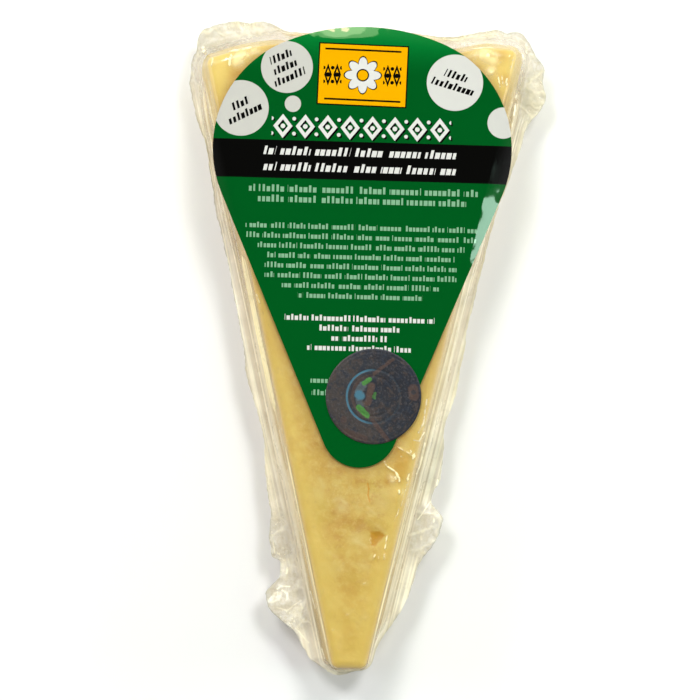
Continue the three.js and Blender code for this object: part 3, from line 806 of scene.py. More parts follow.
FILM_GLINT_STROKES = (  # painted highlights on folds of the loose film: x, y to x, y, half width, strength
    (-17.5, 24.9, -17.6, 23.5, 0.45, 1.0), (-13.4, 15.2, -13.1, 14.1, 0.5, 0.9),
    (-12.5, 11.1, -14.7, 8.5, 0.5, 0.35), (-14.7, 8.5, -11.2, 4.7, 0.4, 0.8),
    (-10.9, 19.2, -9.5, 14.6, 0.35, 0.6), (-23.3, 51.7, -23.1, 47.6, 0.4, 0.5),
    (-20.1, 19.1, -19, 20, 0.35, 0.8), (-19, 20, -16.7, 19.9, 0.35, 0.8),
    (-18.6, 18.8, -17.3, 18, 0.4, 0.9), (-17.3, 18, -17.2, 16.6, 0.5, 1.0),
    (-20, 18.2, -20, 16.9, 0.4, 0.5), (-7.5, 3.5, -6.7, 1.1, 0.35, 0.6), (-22, 15.8, -20.5, 16.7, 0.8, 0.4),
    (-20, 14.1, -17.3, 13.4, 0.4, 0.4), (-17.3, 13.4, -13.4, 16.2, 0.4, 0.35),
    (19.5, 72, 18.8, 65.7, 0.45, 0.7), (18.8, 65.7, 17.5, 63.1, 0.5, 0.8),
    (19, 63.2, 17.6, 60.8, 0.35, 0.8), (17.6, 60.8, 16.2, 61, 0.3, 0.6),
    (19.4, 60.2, 18.4, 54.8, 0.45, 0.9), (18.4, 54.8, 17.3, 51.8, 0.4, 0.8),
    (-21.8, 33.9, -21, 29, 0.4, 0.5), (23.2, 49.8, 23.1, 48.4, 0.5, 1.0), (21.5, 44.2, 18, 38.9, 0.35, 0.7),
    (16.2, 34.8, 21.9, 37, 0.9, 0.4), (23.9, 71.3, 22.5, 64.6, 0.35, 0.7),
    (22.5, 64.6, 19.4, 49.7, 0.3, 0.5), (19.4, 49.7, 13.7, 30.4, 0.3, 0.5),
    (22.4, 39.4, 22.4, 38.6, 0.5, 0.7), (19, 34.4, 19, 33.6, 0.5, 0.6),
    (42.4, 155.2, 42.1, 154.1, 0.6, 0.9), (41.9, 152.5, 41.1, 146.4, 0.45, 1.0),
    (45, 169.5, 45.2, 167.3, 0.5, 0.8), (43.9, 166.2, 44.1, 165.1, 0.5, 0.8),
    (-43.5, 166.9, -43.1, 165.8, 0.8, 1.0),
)
LOBE_BUBBLES = (  # air in the loose film: x, y, radius, height
    (-17.6, 16.7, 3.2, 0.22), (-20.2, 34.6, 2, 0.2), (22.3, 38.6, 2.2, 0.2), (44.9, 158.6, 2.4, 0.3),
    (46.7, 162.1, 1.8, 0.35), (-42.6, 160.6, 2.2, 0.2), (-36.5, 170, 2.6, 0.2),
)


def film_material():
    """Clear film, nearly unseen where it lies tight on the cheese and milky where it folds or hangs loose,
    with painted highlights on its folds, along the face's edge and at the rind end's corners.
    """
    f = Finish("clear pouch film", IOR=1.6, Specular_IOR_Level=0.5)
    milk, web, loose, warm = (f.attribute(name) for name in ("milk", "web", "loose", "warm"))
    drape = f.attribute("drape", "Vector")
    x, y, _ = f.parts(f.point)
    cloud = f.noise(f.point, 8.0, 3.0, 0.5, 5.0)
    haze = f.noise(f.point, 3.5, 3.0, 0.6, 6.0)
    swirl = f.noise(f.point, 4.5, 3.0, 0.6, 15.0, 1.4)
    crinkle = f.noise(f.point, 0.9, 3.0, 0.65, 17.0, 0.6)
    soft_streak = f.noise(f.vector("MULTIPLY", drape, (1.0, 0.03, 1.0)), 1.1, 2.0, 0.5, 12.0)
    broad_streak = f.noise(f.vector("MULTIPLY", drape, (1.0, 0.02, 1.0)), 2.6, 2.0, 0.5, 13.0)
    drawn = f.vector("MULTIPLY", drape, (1.0, 0.018, 1.0))
    long_streak = f.group(thin_lines, Point=drawn, Spacing=1.7, Sharpness=11.0, Seed=7.0)
    fold = f.group(thin_lines, Point=f.point, Spacing=7.0, Sharpness=20.0, Seed=14.0)
    speck = f.between(f.noise(f.point, 0.7, 2.0, 0.5, 11.0), 0.58, 0.7)
    near_rim = f.between(f.attribute("rim"), 0.25, 0.8, 0.35, 1.0)
    specks = f.times(speck, f.between(cloud, 0.45, 0.6), near_rim)
    broken = f.between(f.noise(f.point, 1.5, 2.0, 0.5, 16.0), 0.36, 0.56, 0.4, 1.0)
    middle = f.wandering(f.joined(x, y), swirl, haze, 0.6)
    strokes = f.most(*(f.times(f.stroke(middle, *where), strength) for *where, strength in FILM_GLINT_STROKES))
    # painted highlights: fold lines and sparkling specks of the loose film, and bright streaks of the side
    # film
    lobe_lines = f.times(f.most(f.times(fold, 0.3), f.times(specks, 0.9)), loose)
    web_lines = f.times(long_streak, web, 0.55)
    lines = f.most(lobe_lines, web_lines, f.times(strokes, broken))
    # painted highlight along the face's edge
    edge = f.times(f.between(f.attribute("glint"), 0.72, 0.96), f.between(soft_streak, 0.34, 0.6, 0.3, 1.0))
    # painted highlights of the film's folds on the face
    fold_gleams = f.between(f.times(f.attribute("painted_fold_gleam"), f.plus(0.55, broken)), 0.2, 1.0)
    # painted highlights at the rind end's corners
    painted_glow = f.times(f.attribute("painted_glow"), f.between(swirl, 0.36, 0.58, 0.5, 1.0))
    mottled = f.ramp(swirl, (
        (0.36, colour(240, 230, 208)), (0.47, colour(251, 245, 231)), (0.56, colour(257, 252, 241)),
        (0.66, colour(274, 269, 255)),
    ))
    crinkled = f.mix(f.between(crinkle, 0.54, 0.38, 0.0, 0.7), mottled, colour(226, 214, 182))
    streaky = f.mix(f.between(broad_streak, 0.38, 0.62), colour(262, 248, 218), colour(276, 268, 248))
    yellowed = f.times(f.between(cloud, 0.42, 0.6, 0.05, 0.5), f.between(y, 125.0, 155.0))
    flange = f.mix(yellowed, f.mix(loose, streaky, crinkled), colour(262, 248, 200))
    side = f.mix(f.between(broad_streak, 0.36, 0.62), colour(260, 228, 158), colour(284, 262, 208))
    ground = f.mix(warm, flange, f.mix(f.attribute("cream"), side, colour(280, 264, 212)))
    f.shows("Base Color", f.layered(ground, (
        (f.share("dull", 0.85), (210, 202, 176)),
        (f.share("hem", 0.7), (206, 202, 186)),
        # painted highlights, these four layers
        (lines, (300, 294, 262)),
        (edge, (300, 284, 220)),
        (painted_glow, (300, 280, 206)),
        (fold_gleams, (300, 286, 222)),
    )))
    thick = f.times(f.minus(1.0, warm), f.between(y, 48.0, 4.0, 0.0, 0.3))
    veil = f.plus(f.times(milk, f.between(cloud, 0.3, 0.7, 0.55, 0.75)), thick)
    hazy = f.between(haze, 0.55, 0.75, 0.02, 0.09)
    # the painted highlights also make the film less clear
    marks = f.most(f.times(lines, 0.6), f.times(edge, 0.6), f.times(fold_gleams, 0.75), f.times(painted_glow, 0.6))
    f.shows("Alpha", f.plus(veil, hazy, marks, clamp=True))
    f.shows("Roughness", f.between(haze, 0.3, 0.7, 0.24, 0.4))
    rolling = f.times(f.plus(f.times(swirl, 0.35), f.times(crinkle, 0.2)), loose)
    f.raised(f.plus(f.times(lobe_lines, 0.4), f.times(web_lines, 0.25), rolling), 0.4)
    return f.material


GREEN, GREEN_SHEEN = colour(0, 91, 31), colour(5, 130, 53)
GREEN_LIGHTER = (158.5, 173.0)  # a painted sheen: the green grows lighter between these, towards the crown
BLACK = colour(9, 9, 8)
PALE = colour(214, 213, 206)
WHITE = colour(236, 236, 232)
SMALL_PRINT = colour(140, 190, 152)
AMBER = colour(254, 182, 0)
LEVEL = math.radians(-0.4)  # the print's slight turn on the wedge

DISCS = (  # x, y, radius, brightness
    (-20.1, 161.0, 7.0, 0.0), (-32.3, 149.7, 7.5, 0.0), (25.3, 157.7, 7.6, 0.6), (-18.3, 151.1, 2.2, 0.0),
    (38.5, 147.1, 4.2, 0.4),
)
DISC_LINES = (  # dark rows on the discs: middle of the block, tilt in degrees, half widths from the top down
    (-20.2, 160.8, 25, (3.1, 3.3, 4.4)), (-31.5, 149.3, 27, (2.6, 5.0)), (25.3, 157.7, -16, (3.1, 5.8)),
)
DISC_PITCH, DISC_BLOCK = 3.0, 1.25
BAND = (0.9, 136.0, 86, 10.3)  # middle and size
PANEL = (0.4, 159.2, 23.6, 16.1)
PANEL_TILT = math.radians(-1.46)
PANEL_FLOWER = 5.2  # radius of the rosette in the panel's middle
OUTLINE = 0.35


class Print:
    """The label's print, laid one shape on another."""

    def __init__(self, finish, ground):
        self.f, self.result = finish, ground

    def lay(self, mask, ink):
        self.result = self.f.mix(mask, self.result, ink)

    def disc(self, x, y, radius, ink, point=None):
        f = self.f
        self.lay(f.group(printed_disc, Point=point or f.flat, Middle=(x, y, 0.0), Radius=radius), ink)

    def box(self, x, y, width, height, tilt, ink):
        f = self.f
        mask = f.group(printed_box, Point=f.flat, Middle=(x, y, 0.0), Width=width, Height=height, Tilt=tilt)
        self.lay(mask, ink)

    def block(self, top, pitch, height, half_widths, ink, middle=0.9, word=6.5, gap=0.9, slant=0.0,
              letter=1.0, point=None):
        """A block of centred lines, from the top of its first line down, as wide as half_widths say."""
        f = self.f
        place = point or f.level
        widest = max(half_widths)
        line = f.group(line_number, Point=place, Top=top, Pitch=pitch)
        stops = [(i / len(half_widths), grey(half / widest)) for i, half in enumerate(half_widths)]
        share = f.ramp(f.over(line, float(len(stops))), stops, "CONSTANT")
        mask = f.group(
            word_bars, Point=place, Line=line, Lines=float(len(half_widths)), Pitch=pitch, Height=height,
            Slant=slant, Middle=middle, Half_Width=f.times(share, widest), Word=word, Gap=gap,
            Block=letter,
        )
        self.lay(mask, ink)

    def tilted_block(self, x, y, tilt, half_widths, ink):
        """A block of dark lines turned round its own middle."""
        turned = self.f.turned(self.f.flat, (x, y, 0.0), -math.radians(tilt))
        top = y + DISC_PITCH * len(half_widths) / 2
        self.block(
            top, DISC_PITCH, 2.1, half_widths, ink, middle=x, word=30.0, gap=0.0, slant=0.2,
            letter=DISC_BLOCK, point=turned,
        )

    def panel(self):
        """A slab of amber with a rosette between lozenges and two fine lines."""
        f = self.f
        x, y, width, height = PANEL
        self.box(x, y, width + 2 * OUTLINE, height + 2 * OUTLINE, PANEL_TILT, BLACK)
        self.box(x, y, width, height, PANEL_TILT, AMBER)
        for up in (-1, 1):
            self.box(x, y + up * (height / 2 - 1.3), width - 3, 0.5, PANEL_TILT, BLACK)
        for left in (x - width / 2 + 1.2, x + PANEL_FLOWER + 0.3):
            start = (left, y, 0.0)
            mask = f.group(lozenge_row, Point=f.flat, Start=start, Pitch=2.45, Height=6.0, Count=2.0)
            self.lay(mask, BLACK)
        petals = f.group(rosette, Point=f.flat, Middle=(x, y, 0.0), Radius=PANEL_FLOWER)
        self.lay(f.printed(petals), BLACK)
        self.lay(f.between(petals, OUTLINE - SOFT_EDGE, OUTLINE + SOFT_EDGE), WHITE)
        for radius, ink in ((1.7, BLACK), (1.7 - OUTLINE, AMBER)):
            self.disc(x, y, radius, ink)


def label_material():
    """Glossy printed paper: a green field with a black band, pale discs, an amber panel and lines of bars."""
    f = Finish("printed label", Specular_IOR_Level=0.4)
    x, y, _ = f.parts(f.point)
    f.flat = f.joined(x, y)
    f.level = f.joined(x, f.minus(y, f.times(x, math.tan(LEVEL))))
    sheen = f.noise(f.point, 26.0, 2.0, 0.5, 9.0)
    # painted sheen, a lighter green towards the crown
    ground = f.mix(f.between(y, *GREEN_LIGHTER), GREEN, GREEN_SHEEN)
    printed = Print(f, ground)
    for x_, y_, radius, lightness in DISCS:
        ink = tuple(a + (b - a) * lightness for a, b in zip(PALE, WHITE))
        printed.disc(x_, y_, radius, ink)
    printed.box(*BAND, LEVEL, BLACK)
    for x_, y_, tilt, half_widths in DISC_LINES:
        printed.tilted_block(x_, y_, tilt, half_widths, BLACK)
    printed.panel()
    for shift, ink in (((0.4, -0.4), BLACK), ((0.0, 0.0), WHITE)):
        start = (-23.9 + shift[0], 144.95 + shift[1], 0.0)
        mask = f.group(lozenge_row, Point=f.level, Start=start, Pitch=6.05, Height=6.5, Count=8.0)
        printed.lay(mask, ink)
    printed.block(
        139.5, 4.3, 2.3, (25.9, 25.9), WHITE, middle=0.4, word=9.0, gap=1.3, slant=0.22, letter=1.55
    )
    printed.block(129.1, 2.75, 1.9, (30.9, 28.4), SMALL_PRINT, middle=1.2, word=8.5, gap=1.0, letter=1.25)
    long_lines = (31.3, 31.0, 27.9, 25.3, 25.9, 25.9, 21.2, 16.9)
    printed.block(118.9, 2.66, 1.5, long_lines, SMALL_PRINT, word=6.0, gap=0.8, letter=0.98)
    printed.block(94.3, 2.66, 1.6, (20.2, 10.8, 7.5, 14.0), WHITE, word=9.5, gap=0.8, letter=1.1)
    printed.block(77.4, 3.3, 1.5, (9.0, 8.6), SMALL_PRINT, middle=-3.0, word=7.0, gap=0.8, letter=1.05)
    f.shows("Base Color", f.mix(f.attribute("paper"), printed.result, colour(238, 238, 232)))
    f.shows("Roughness", f.between(sheen, 0.3, 0.7, 0.02, 0.03))
    f.raised(f.group(fine_wrinkles, Point=f.point, Size=9.0, Creases=0.05, Seed=6.0), 0.006)
    return f.material


FOIL_BLUE, FOIL_GREEN, FOIL_BROWN, FOIL_GREY = (84, 136, 158), (84, 152, 70), (104, 80, 70), (92, 104, 110)
FOIL_PATCHES = (  # colours in the foil, from its middle: x, y to x, y, half width, strength, colour
    (-2.9, 3, -4.2, 1.2, 1.6, 0.9, FOIL_GREY), (-4, -1, -3.4, -2.6, 1.4, 0.7, FOIL_GREY),
    (-3.9, 0.4, -3.7, 0.2, 2.1, 1.0, FOIL_BLUE), (-2.6, 3.5, -1.2, 4.6, 1.0, 0.9, FOIL_GREEN),
    (-3.9, -3.0, -1.6, -5.1, 1.3, 0.9, FOIL_GREEN), (-0.6, 2.8, -1.5, -1.6, 1.5, 0.75, FOIL_BROWN),
    (0.4, 0.8, 0.1, -0.4, 0.7, 0.6, FOIL_GREEN), (5, 10.1, 0, 6.1, 0.8, 0.6, FOIL_BROWN),
    (-0.2, -6.5, 4, -11.7, 1.0, 0.6, FOIL_BROWN), (10.6, 2.2, 10.9, 0.4, 2.3, 0.6, FOIL_BROWN),
    (10.8, 1.4, 10.9, 1.3, 1.0, 0.8, (58, 60, 66)), (-7.2, -9.6, -2.2, -11.4, 1.5, 0.5, FOIL_BROWN),
    (-8.1, -6.5, -8, -6.4, 1.6, 0.5, FOIL_BROWN),
)
FOIL_RINGS = (  # faint rings: radius, half width, strength, colour
    (7.2, 0.25, 0.9, (80, 132, 156)), (5.7, 0.4, 0.6, (94, 76, 68)), (3.4, 0.3, 0.3, (112, 92, 84)),
)
NETTING_TURNS, NETTING_TWIST = 20.0, 3.2  # threads round the seal, and their twist for each millimetre out


def seal_material():
    """Dark holographic foil: faint engraved rings, fine netting and colours that drift over it."""
    f = Finish("seal foil", Metallic=0.6, Specular_IOR_Level=0.4)
    x, y, _ = f.parts(f.point)
    away = f.vector("SUBTRACT", f.joined(x, y), (*SEAL_MIDDLE, 0.0))
    across, up, _ = f.parts(away)
    radius = f.vector("LENGTH", away)
    fine = f.noise(f.point, 0.45, 3.0, 0.6, 11.0)
    drift = f.noise(f.point, 8.0, 2.0, 0.5, 12.0)
    blotches = f.noise(f.point, 2.4, 3.0, 0.6, 22.0, 0.8)
    slant = f.plus(f.times(across, 0.035), f.times(up, 0.02))
    ground = f.ramp(f.plus(drift, slant), (
        (0.2, colour(78, 72, 70)), (0.38, colour(68, 66, 68)), (0.5, colour(58, 60, 66)),
        (0.62, colour(52, 53, 60)), (0.8, colour(48, 50, 58)),
    ))
    turn, twist = f.times(f.math("ARCTAN2", up, across), NETTING_TURNS), f.times(radius, NETTING_TWIST)
    lace, crossed = f.math("SINE", f.plus(turn, twist)), f.math("SINE", f.minus(turn, twist))
    outer = f.times(f.between(radius, 7.8, 8.6), f.between(radius, 12.0, 11.4))
    netting = f.times(f.between(f.times(lace, crossed), 0.3, 0.9), outer)
    tone = f.layered(ground, (
        (f.times(netting, 0.12), (108, 106, 112)),
        (f.between(blotches, 0.52, 0.62, 0.0, 0.6), (86, 74, 68)),
        (f.between(blotches, 0.46, 0.38, 0.0, 0.6), (48, 56, 70)),
    ))
    beside = f.between(across, 1.5, -3.0, 0.06, 1.0)
    for ring, half, strength, ink in FOIL_RINGS:
        off = f.absolute(f.minus(radius, ring))
        weight = f.times(f.between(off, half + 0.15, half - 0.1, 0.0, strength), beside)
        tone = f.mix(weight, tone, colour(*ink))
    middle = f.wandering(f.joined(across, up), blotches, fine, 1.0)
    for *where, strength, ink in FOIL_PATCHES:
        tone = f.mix(f.between(f.stroke(middle, *where), 0.15, 0.6, 0.0, strength), tone, colour(*ink))
    f.shows("Base Color", f.mix(f.between(fine, 0.5, 0.75, 0.0, 0.3), tone, colour(126, 122, 126)))
    f.shows("Roughness", f.between(fine, 0.3, 0.7, 0.38, 0.55))
    f.raised(f.plus(fine, f.times(netting, 0.3)), 0.03)
    return f.material


# ---- Trees that shape pieces

def geometry_tree(name, **inputs):
    """Makes a Geometry Nodes tree of the function below it, ending in Realize Instances and Set Material."""
    def grouped(build):
        tree = bpy.data.node_groups.new(name, "GeometryNodeTree")
        tree.interface.new_socket("Geometry", in_out="INPUT", socket_type="NodeSocketGeometry")
        add_inputs(tree, inputs)
        tree.interface.new_socket("Finish", in_out="INPUT", socket_type="NodeSocketMaterial")
        tree.interface.new_socket("Geometry", in_out="OUTPUT", socket_type="NodeSocketGeometry")
        wiring, given = Wiring(tree), tree.nodes.new("NodeGroupInput").outputs
        shaped = wiring.put("GeometryNodeRealizeInstances", {0: build(wiring, given)}).outputs[0]
        finished = wiring.put("GeometryNodeSetMaterial", {"Geometry": shaped, "Material": given["Finish"]})
        wiring.feed(tree.nodes.new("NodeGroupOutput").inputs["Geometry"], finished.outputs[0])
        return tree

    return grouped


def shaped_by(tree, piece, finish, **values):
    """The piece's mesh as the tree makes it, with the tree's inputs set by name."""
    modifier = piece.modifiers.new(tree.name, "NODES")
    modifier.node_group = tree
    wanted = {key.replace("_", " "): value for key, value in values.items()} | {"Finish": finish}
    for item in tree.interface.items_tree:
        if item.item_type == "SOCKET" and item.in_out == "INPUT" and item.name in wanted:
            modifier[item.identifier] = wanted[item.name]
    depsgraph = bpy.context.evaluated_depsgraph_get()
    mesh = bpy.data.meshes.new_from_object(
        piece.evaluated_get(depsgraph), preserve_all_data_layers=True, depsgraph=depsgraph
    )
    piece.modifiers.remove(modifier)
    mesh.name = piece.name
    piece.data = mesh
    return piece


@geometry_tree(
    "crumpled film", Crumple_Size=6 * MM, Crumple_Height=1 * MM, Crease_Size=3 * MM, Crease_Height=0.3 * MM,
    Streak_Width=1.0, Streak_Length=30.0, Streak_Height=0.3 * MM, Seed=1.0,
)
def crumpled_film(w, given):
    """Crumples and creases the loose film and draws the side film into long streaks along the wedge."""
    def stored(name, kind="FLOAT"):
        return w.put("GeometryNodeInputNamedAttribute", {"Name": name}, data_type=kind).outputs[0]

    x, y, _ = w.parts(w.put("GeometryNodeInputPosition").outputs[0])
    plan, seed = w.joined(x, y), given["Seed"]
    swell = w.noise(plan, given["Crumple Size"], 3.0, 0.5, seed)
    crumple = w.times(w.minus(swell, 0.5), w.times(given["Crumple Height"], 2.0))
    crossing = w.noise(plan, given["Crease Size"], 2.0, 0.5, w.plus(seed, 3.0))
    crease = w.times(w.ridged(crossing, 7.0), given["Crease Height"])
    stretched = w.joined(given["Streak Width"], given["Streak Length"], 1.0)
    slim = w.vector("DIVIDE", stored("drape", "FLOAT_VECTOR"), stretched)
    streak = w.ridged(w.noise(slim, 1.0, 2.0, 0.5, w.plus(seed, 6.0)), 4.0)
    on_flange = w.times(w.plus(crumple, crease), stored("loose"))
    on_web = w.times(streak, given["Streak Height"], stored("web"))
    offset = w.scaled(stored("push", "FLOAT_VECTOR"), w.plus(on_flange, on_web))
    return w.put("GeometryNodeSetPosition", {"Geometry": given["Geometry"], "Offset": offset}).outputs[0]


@geometry_tree(
    "seal ticks", Count=72, Ring_Radius=10 * MM, Tick_Size=(1 * MM, 0.2 * MM, 0.1 * MM), Middle=ZERO,
)
def seal_ticks(w, given):
    """Adds a ring of short raised ticks to the seal."""
    ring = {"Vertices": given["Count"], "Radius": given["Ring Radius"]}
    circle = w.put("GeometryNodeMeshCircle", ring).outputs[0]
    place = w.put("GeometryNodeInputPosition").outputs[0]
    turned = w.put("FunctionNodeAlignRotationToVector", {"Vector": place}, axis="X").outputs[0]
    tick = w.put("GeometryNodeMeshCube", {"Size": given["Tick Size"]}).outputs[0]
    ticks = w.put(
        "GeometryNodeInstanceOnPoints", {"Points": circle, "Instance": tick, "Rotation": turned}
    ).outputs[0]
    moved = w.put("GeometryNodeTransform", {"Geometry": ticks, "Translation": given["Middle"]}).outputs[0]
    both = w.put("GeometryNodeJoinGeometry")
    for part in (given["Geometry"], moved):
        w.feed(both.inputs[0], part)
    return both.outputs[0]


# ---- Pieces

def section_rows(controls, counts):
    """Smooth rings of a section given as (distance, height) rows, as vertices, with each row's distance."""
    distance = smooth_rows([d + 0 * stations.reach for d, _ in controls], counts)
    height = smooth_rows([h + 0 * stations.reach for _, h in controls], counts)
    rings = [np.column_stack([stations.at(d), h]) for d, h in zip(distance, height)]
    return np.array(rings), distance


def bare_face(spots):
    """Keeps the spots that the label doesn't cover."""
    return depth_inside(LABEL_OUTLINE, spots) < COVERED


def creased(spots):
    """Keeps the spots close to a crease of the film."""
    wide = [(*ends, CREASE_NEAR, 1) for *ends, _, _ in (*CREASES, *GLEAMS)]
    return bare_face(spots) & (ridges(wide, *spots.T) + bumps(PAINTED_GLOWS, *spots.T) > 0.4)


def face_spots(fine, coarse, finest=None):
    """Points inside the flat's border, close together where the face is bare and closest at the creases."""
    def kept(spacing, keep):
        return spots_inside(border_keys, spacing, 0.6 * STEP, keep)

    far = kept(coarse, lambda spots: ~bare_face(spots))
    if not finest:
        return np.vstack([kept(fine, bare_face), far])
    plain = kept(fine, lambda spots: bare_face(spots) & ~creased(spots))
    return np.vstack([kept(finest, creased), plain, far])


def closed_skin(rings, spots, spot_heights, back_height):
    """The vertices and faces of a body: rings of its section, spots that fill its face, and a flat back."""
    rows, count = rings.shape[:2]
    border = np.flatnonzero(stations.single)
    outline = stations.point[border]
    back_spots = spots_inside(border_keys, BACK_SPACING, BACK_SPACING / 2)
    start = rows * count
    top = np.concatenate([border, start + np.arange(len(spots))])
    back = np.concatenate([start - count + border, start + len(spots) + np.arange(len(back_spots))])
    vertices = np.vstack([
        rings.reshape(-1, 3),
        np.column_stack([spots, spot_heights]),
        np.column_stack([back_spots, np.full(len(back_spots), back_height)]),
    ])
    faces = [*bands(rows, count), *top[filled(outline, spots)], *back[filled(outline, back_spots)][:, ::-1]]
    return vertices, faces


def arc(middle, radius, start, end, step=1.0):
    angles = np.linspace(start, end, max(3, round(abs(end - start) * radius / step)))
    return np.column_stack([middle[0] + radius * np.cos(angles), middle[1] + radius * np.sin(angles)])


def label_outline():
    """The drop: a small round point, straight flanks, round shoulders and a flatter crown."""
    top = CROWN_Y - SHOULDER_RADIUS
    crown_middle = (top**2 - SHOULDER_X**2 - SHOULDER_Y**2) / (2 * (top - SHOULDER_Y))
    crown_end = math.atan2(SHOULDER_Y - crown_middle, SHOULDER_X)
    lean = math.atan2(SHOULDER_Y - POINT_Y, SHOULDER_X)
    flank = math.hypot(SHOULDER_X, SHOULDER_Y - POINT_Y)
    flank_normal = lean - math.acos((POINT_RADIUS - SHOULDER_RADIUS) / flank)
    curves = [
        arc((0, POINT_Y), POINT_RADIUS, math.pi - flank_normal, 2 * math.pi + flank_normal),
        arc((SHOULDER_X, SHOULDER_Y), SHOULDER_RADIUS, flank_normal, crown_end),
        arc((0, crown_middle), CROWN_Y - crown_middle, crown_end, math.pi - crown_end)[1:],
        arc((-SHOULDER_X, SHOULDER_Y), SHOULDER_RADIUS, math.pi - crown_end, math.pi - flank_normal)[1:],
    ]
    right_flank = np.linspace(curves[0][-1], curves[1][0], 60)[1:-1]
    left_flank = np.linspace(curves[3][-1], curves[0][0], 60)[1:-1]
    drop = np.vstack([curves[0], right_flank, *curves[1:], left_flank])
    x, y = drop[:, 0], drop[:, 1] - LABEL_MIDDLE[1]
    cos, sin = math.cos(LABEL_TURN), math.sin(LABEL_TURN)
    return np.column_stack([x * cos - y * sin, x * sin + y * cos]) + LABEL_MIDDLE


LABEL_OUTLINE = label_outline()


def cheese_wedge(material):
    """The wedge of cheese, just inside the film."""
    root = stations.root
    controls = [
        (0, CHEESE_TOP), (1.2, 24.45), (1.9, 23.7), (2.12, 22.3), (2.1 + 0.2 * root, 18.2),
        (2.1 + 0.4 * root, 14.4), (2.1 + 0.5 * root, 10.8), (2.1 + 0.4 * root, 5.4), (2.0 + 0.1 * root, 1.5),
        (0.8, CHEESE_BACK), (0, CHEESE_BACK),
    ]
    counts = (3, 3, 3, 4, 4, 4, 4, 3, 2, 2)
    rings, distance = section_rows(controls, counts)
    rows, count = rings.shape[:2]
    face = np.clip(1 - distance / 1.9, 0, 1)
    face[rows // 2:] = 0
    rings[..., 2] += face * cheese_relief(rings[..., 0].ravel(), rings[..., 1].ravel()).reshape(rows, count)
    side = even_rows([0, 0, 0.3, 1, 1, 1, 1, 1, 1, 0.3, 0], counts)
    dent = 0.12 * rough_field(rings.reshape(-1, 3), 5, 3, 4).reshape(rows, count)
    rings[..., :2] += (side[:, None] * dent)[..., None] * stations.out
    spots = face_spots(0.5, 2.2)
    vertices, faces = closed_skin(rings, spots, CHEESE_TOP + cheese_relief(*spots.T), CHEESE_BACK)
    plan, height = vertices[:, :2], vertices[:, 2]
    on_face = height > FACE_LEVEL
    at_side = np.zeros(len(vertices))
    at_side[:rows * count] = np.repeat(side, count)
    pit = smoothstep(depth_inside(np.array(PIT), plan), -0.2, 0.3)
    bare = BARE_DEPTH * smoothstep(depth_inside(np.array(BARE_PATCH), plan), -0.5, 1.2)
    from_label = np.full(len(vertices), np.inf)
    from_label[on_face] = -depth_inside(LABEL_OUTLINE, plan[on_face])
    # The values below carry painted shade beside the label and painted light on the face's edge, the sides
    # and the rind end's corners.
    return placed("cheese_wedge", vertices, faces, material, {
        "painted_label_shade": np.exp(-np.clip(from_label, 0, None) / 1.8),
        "rim": np.exp(-((depth_inside(border_keys, plan) / 3.5) ** 2)) * on_face,
        "side": at_side,
        "sunk": np.clip(bumps(AMBER_PATCHES, *plan.T) + np.maximum(pit, bare), 0, 1) * on_face,
        "pale": np.clip(bumps(PALE_SPOTS, *plan.T) + ridges(PALE_MARKS, *plan.T), 0, 1) * on_face,
        "corner": smoothstep(plan[:, 1], 138, 160) * (height > 12),
    })


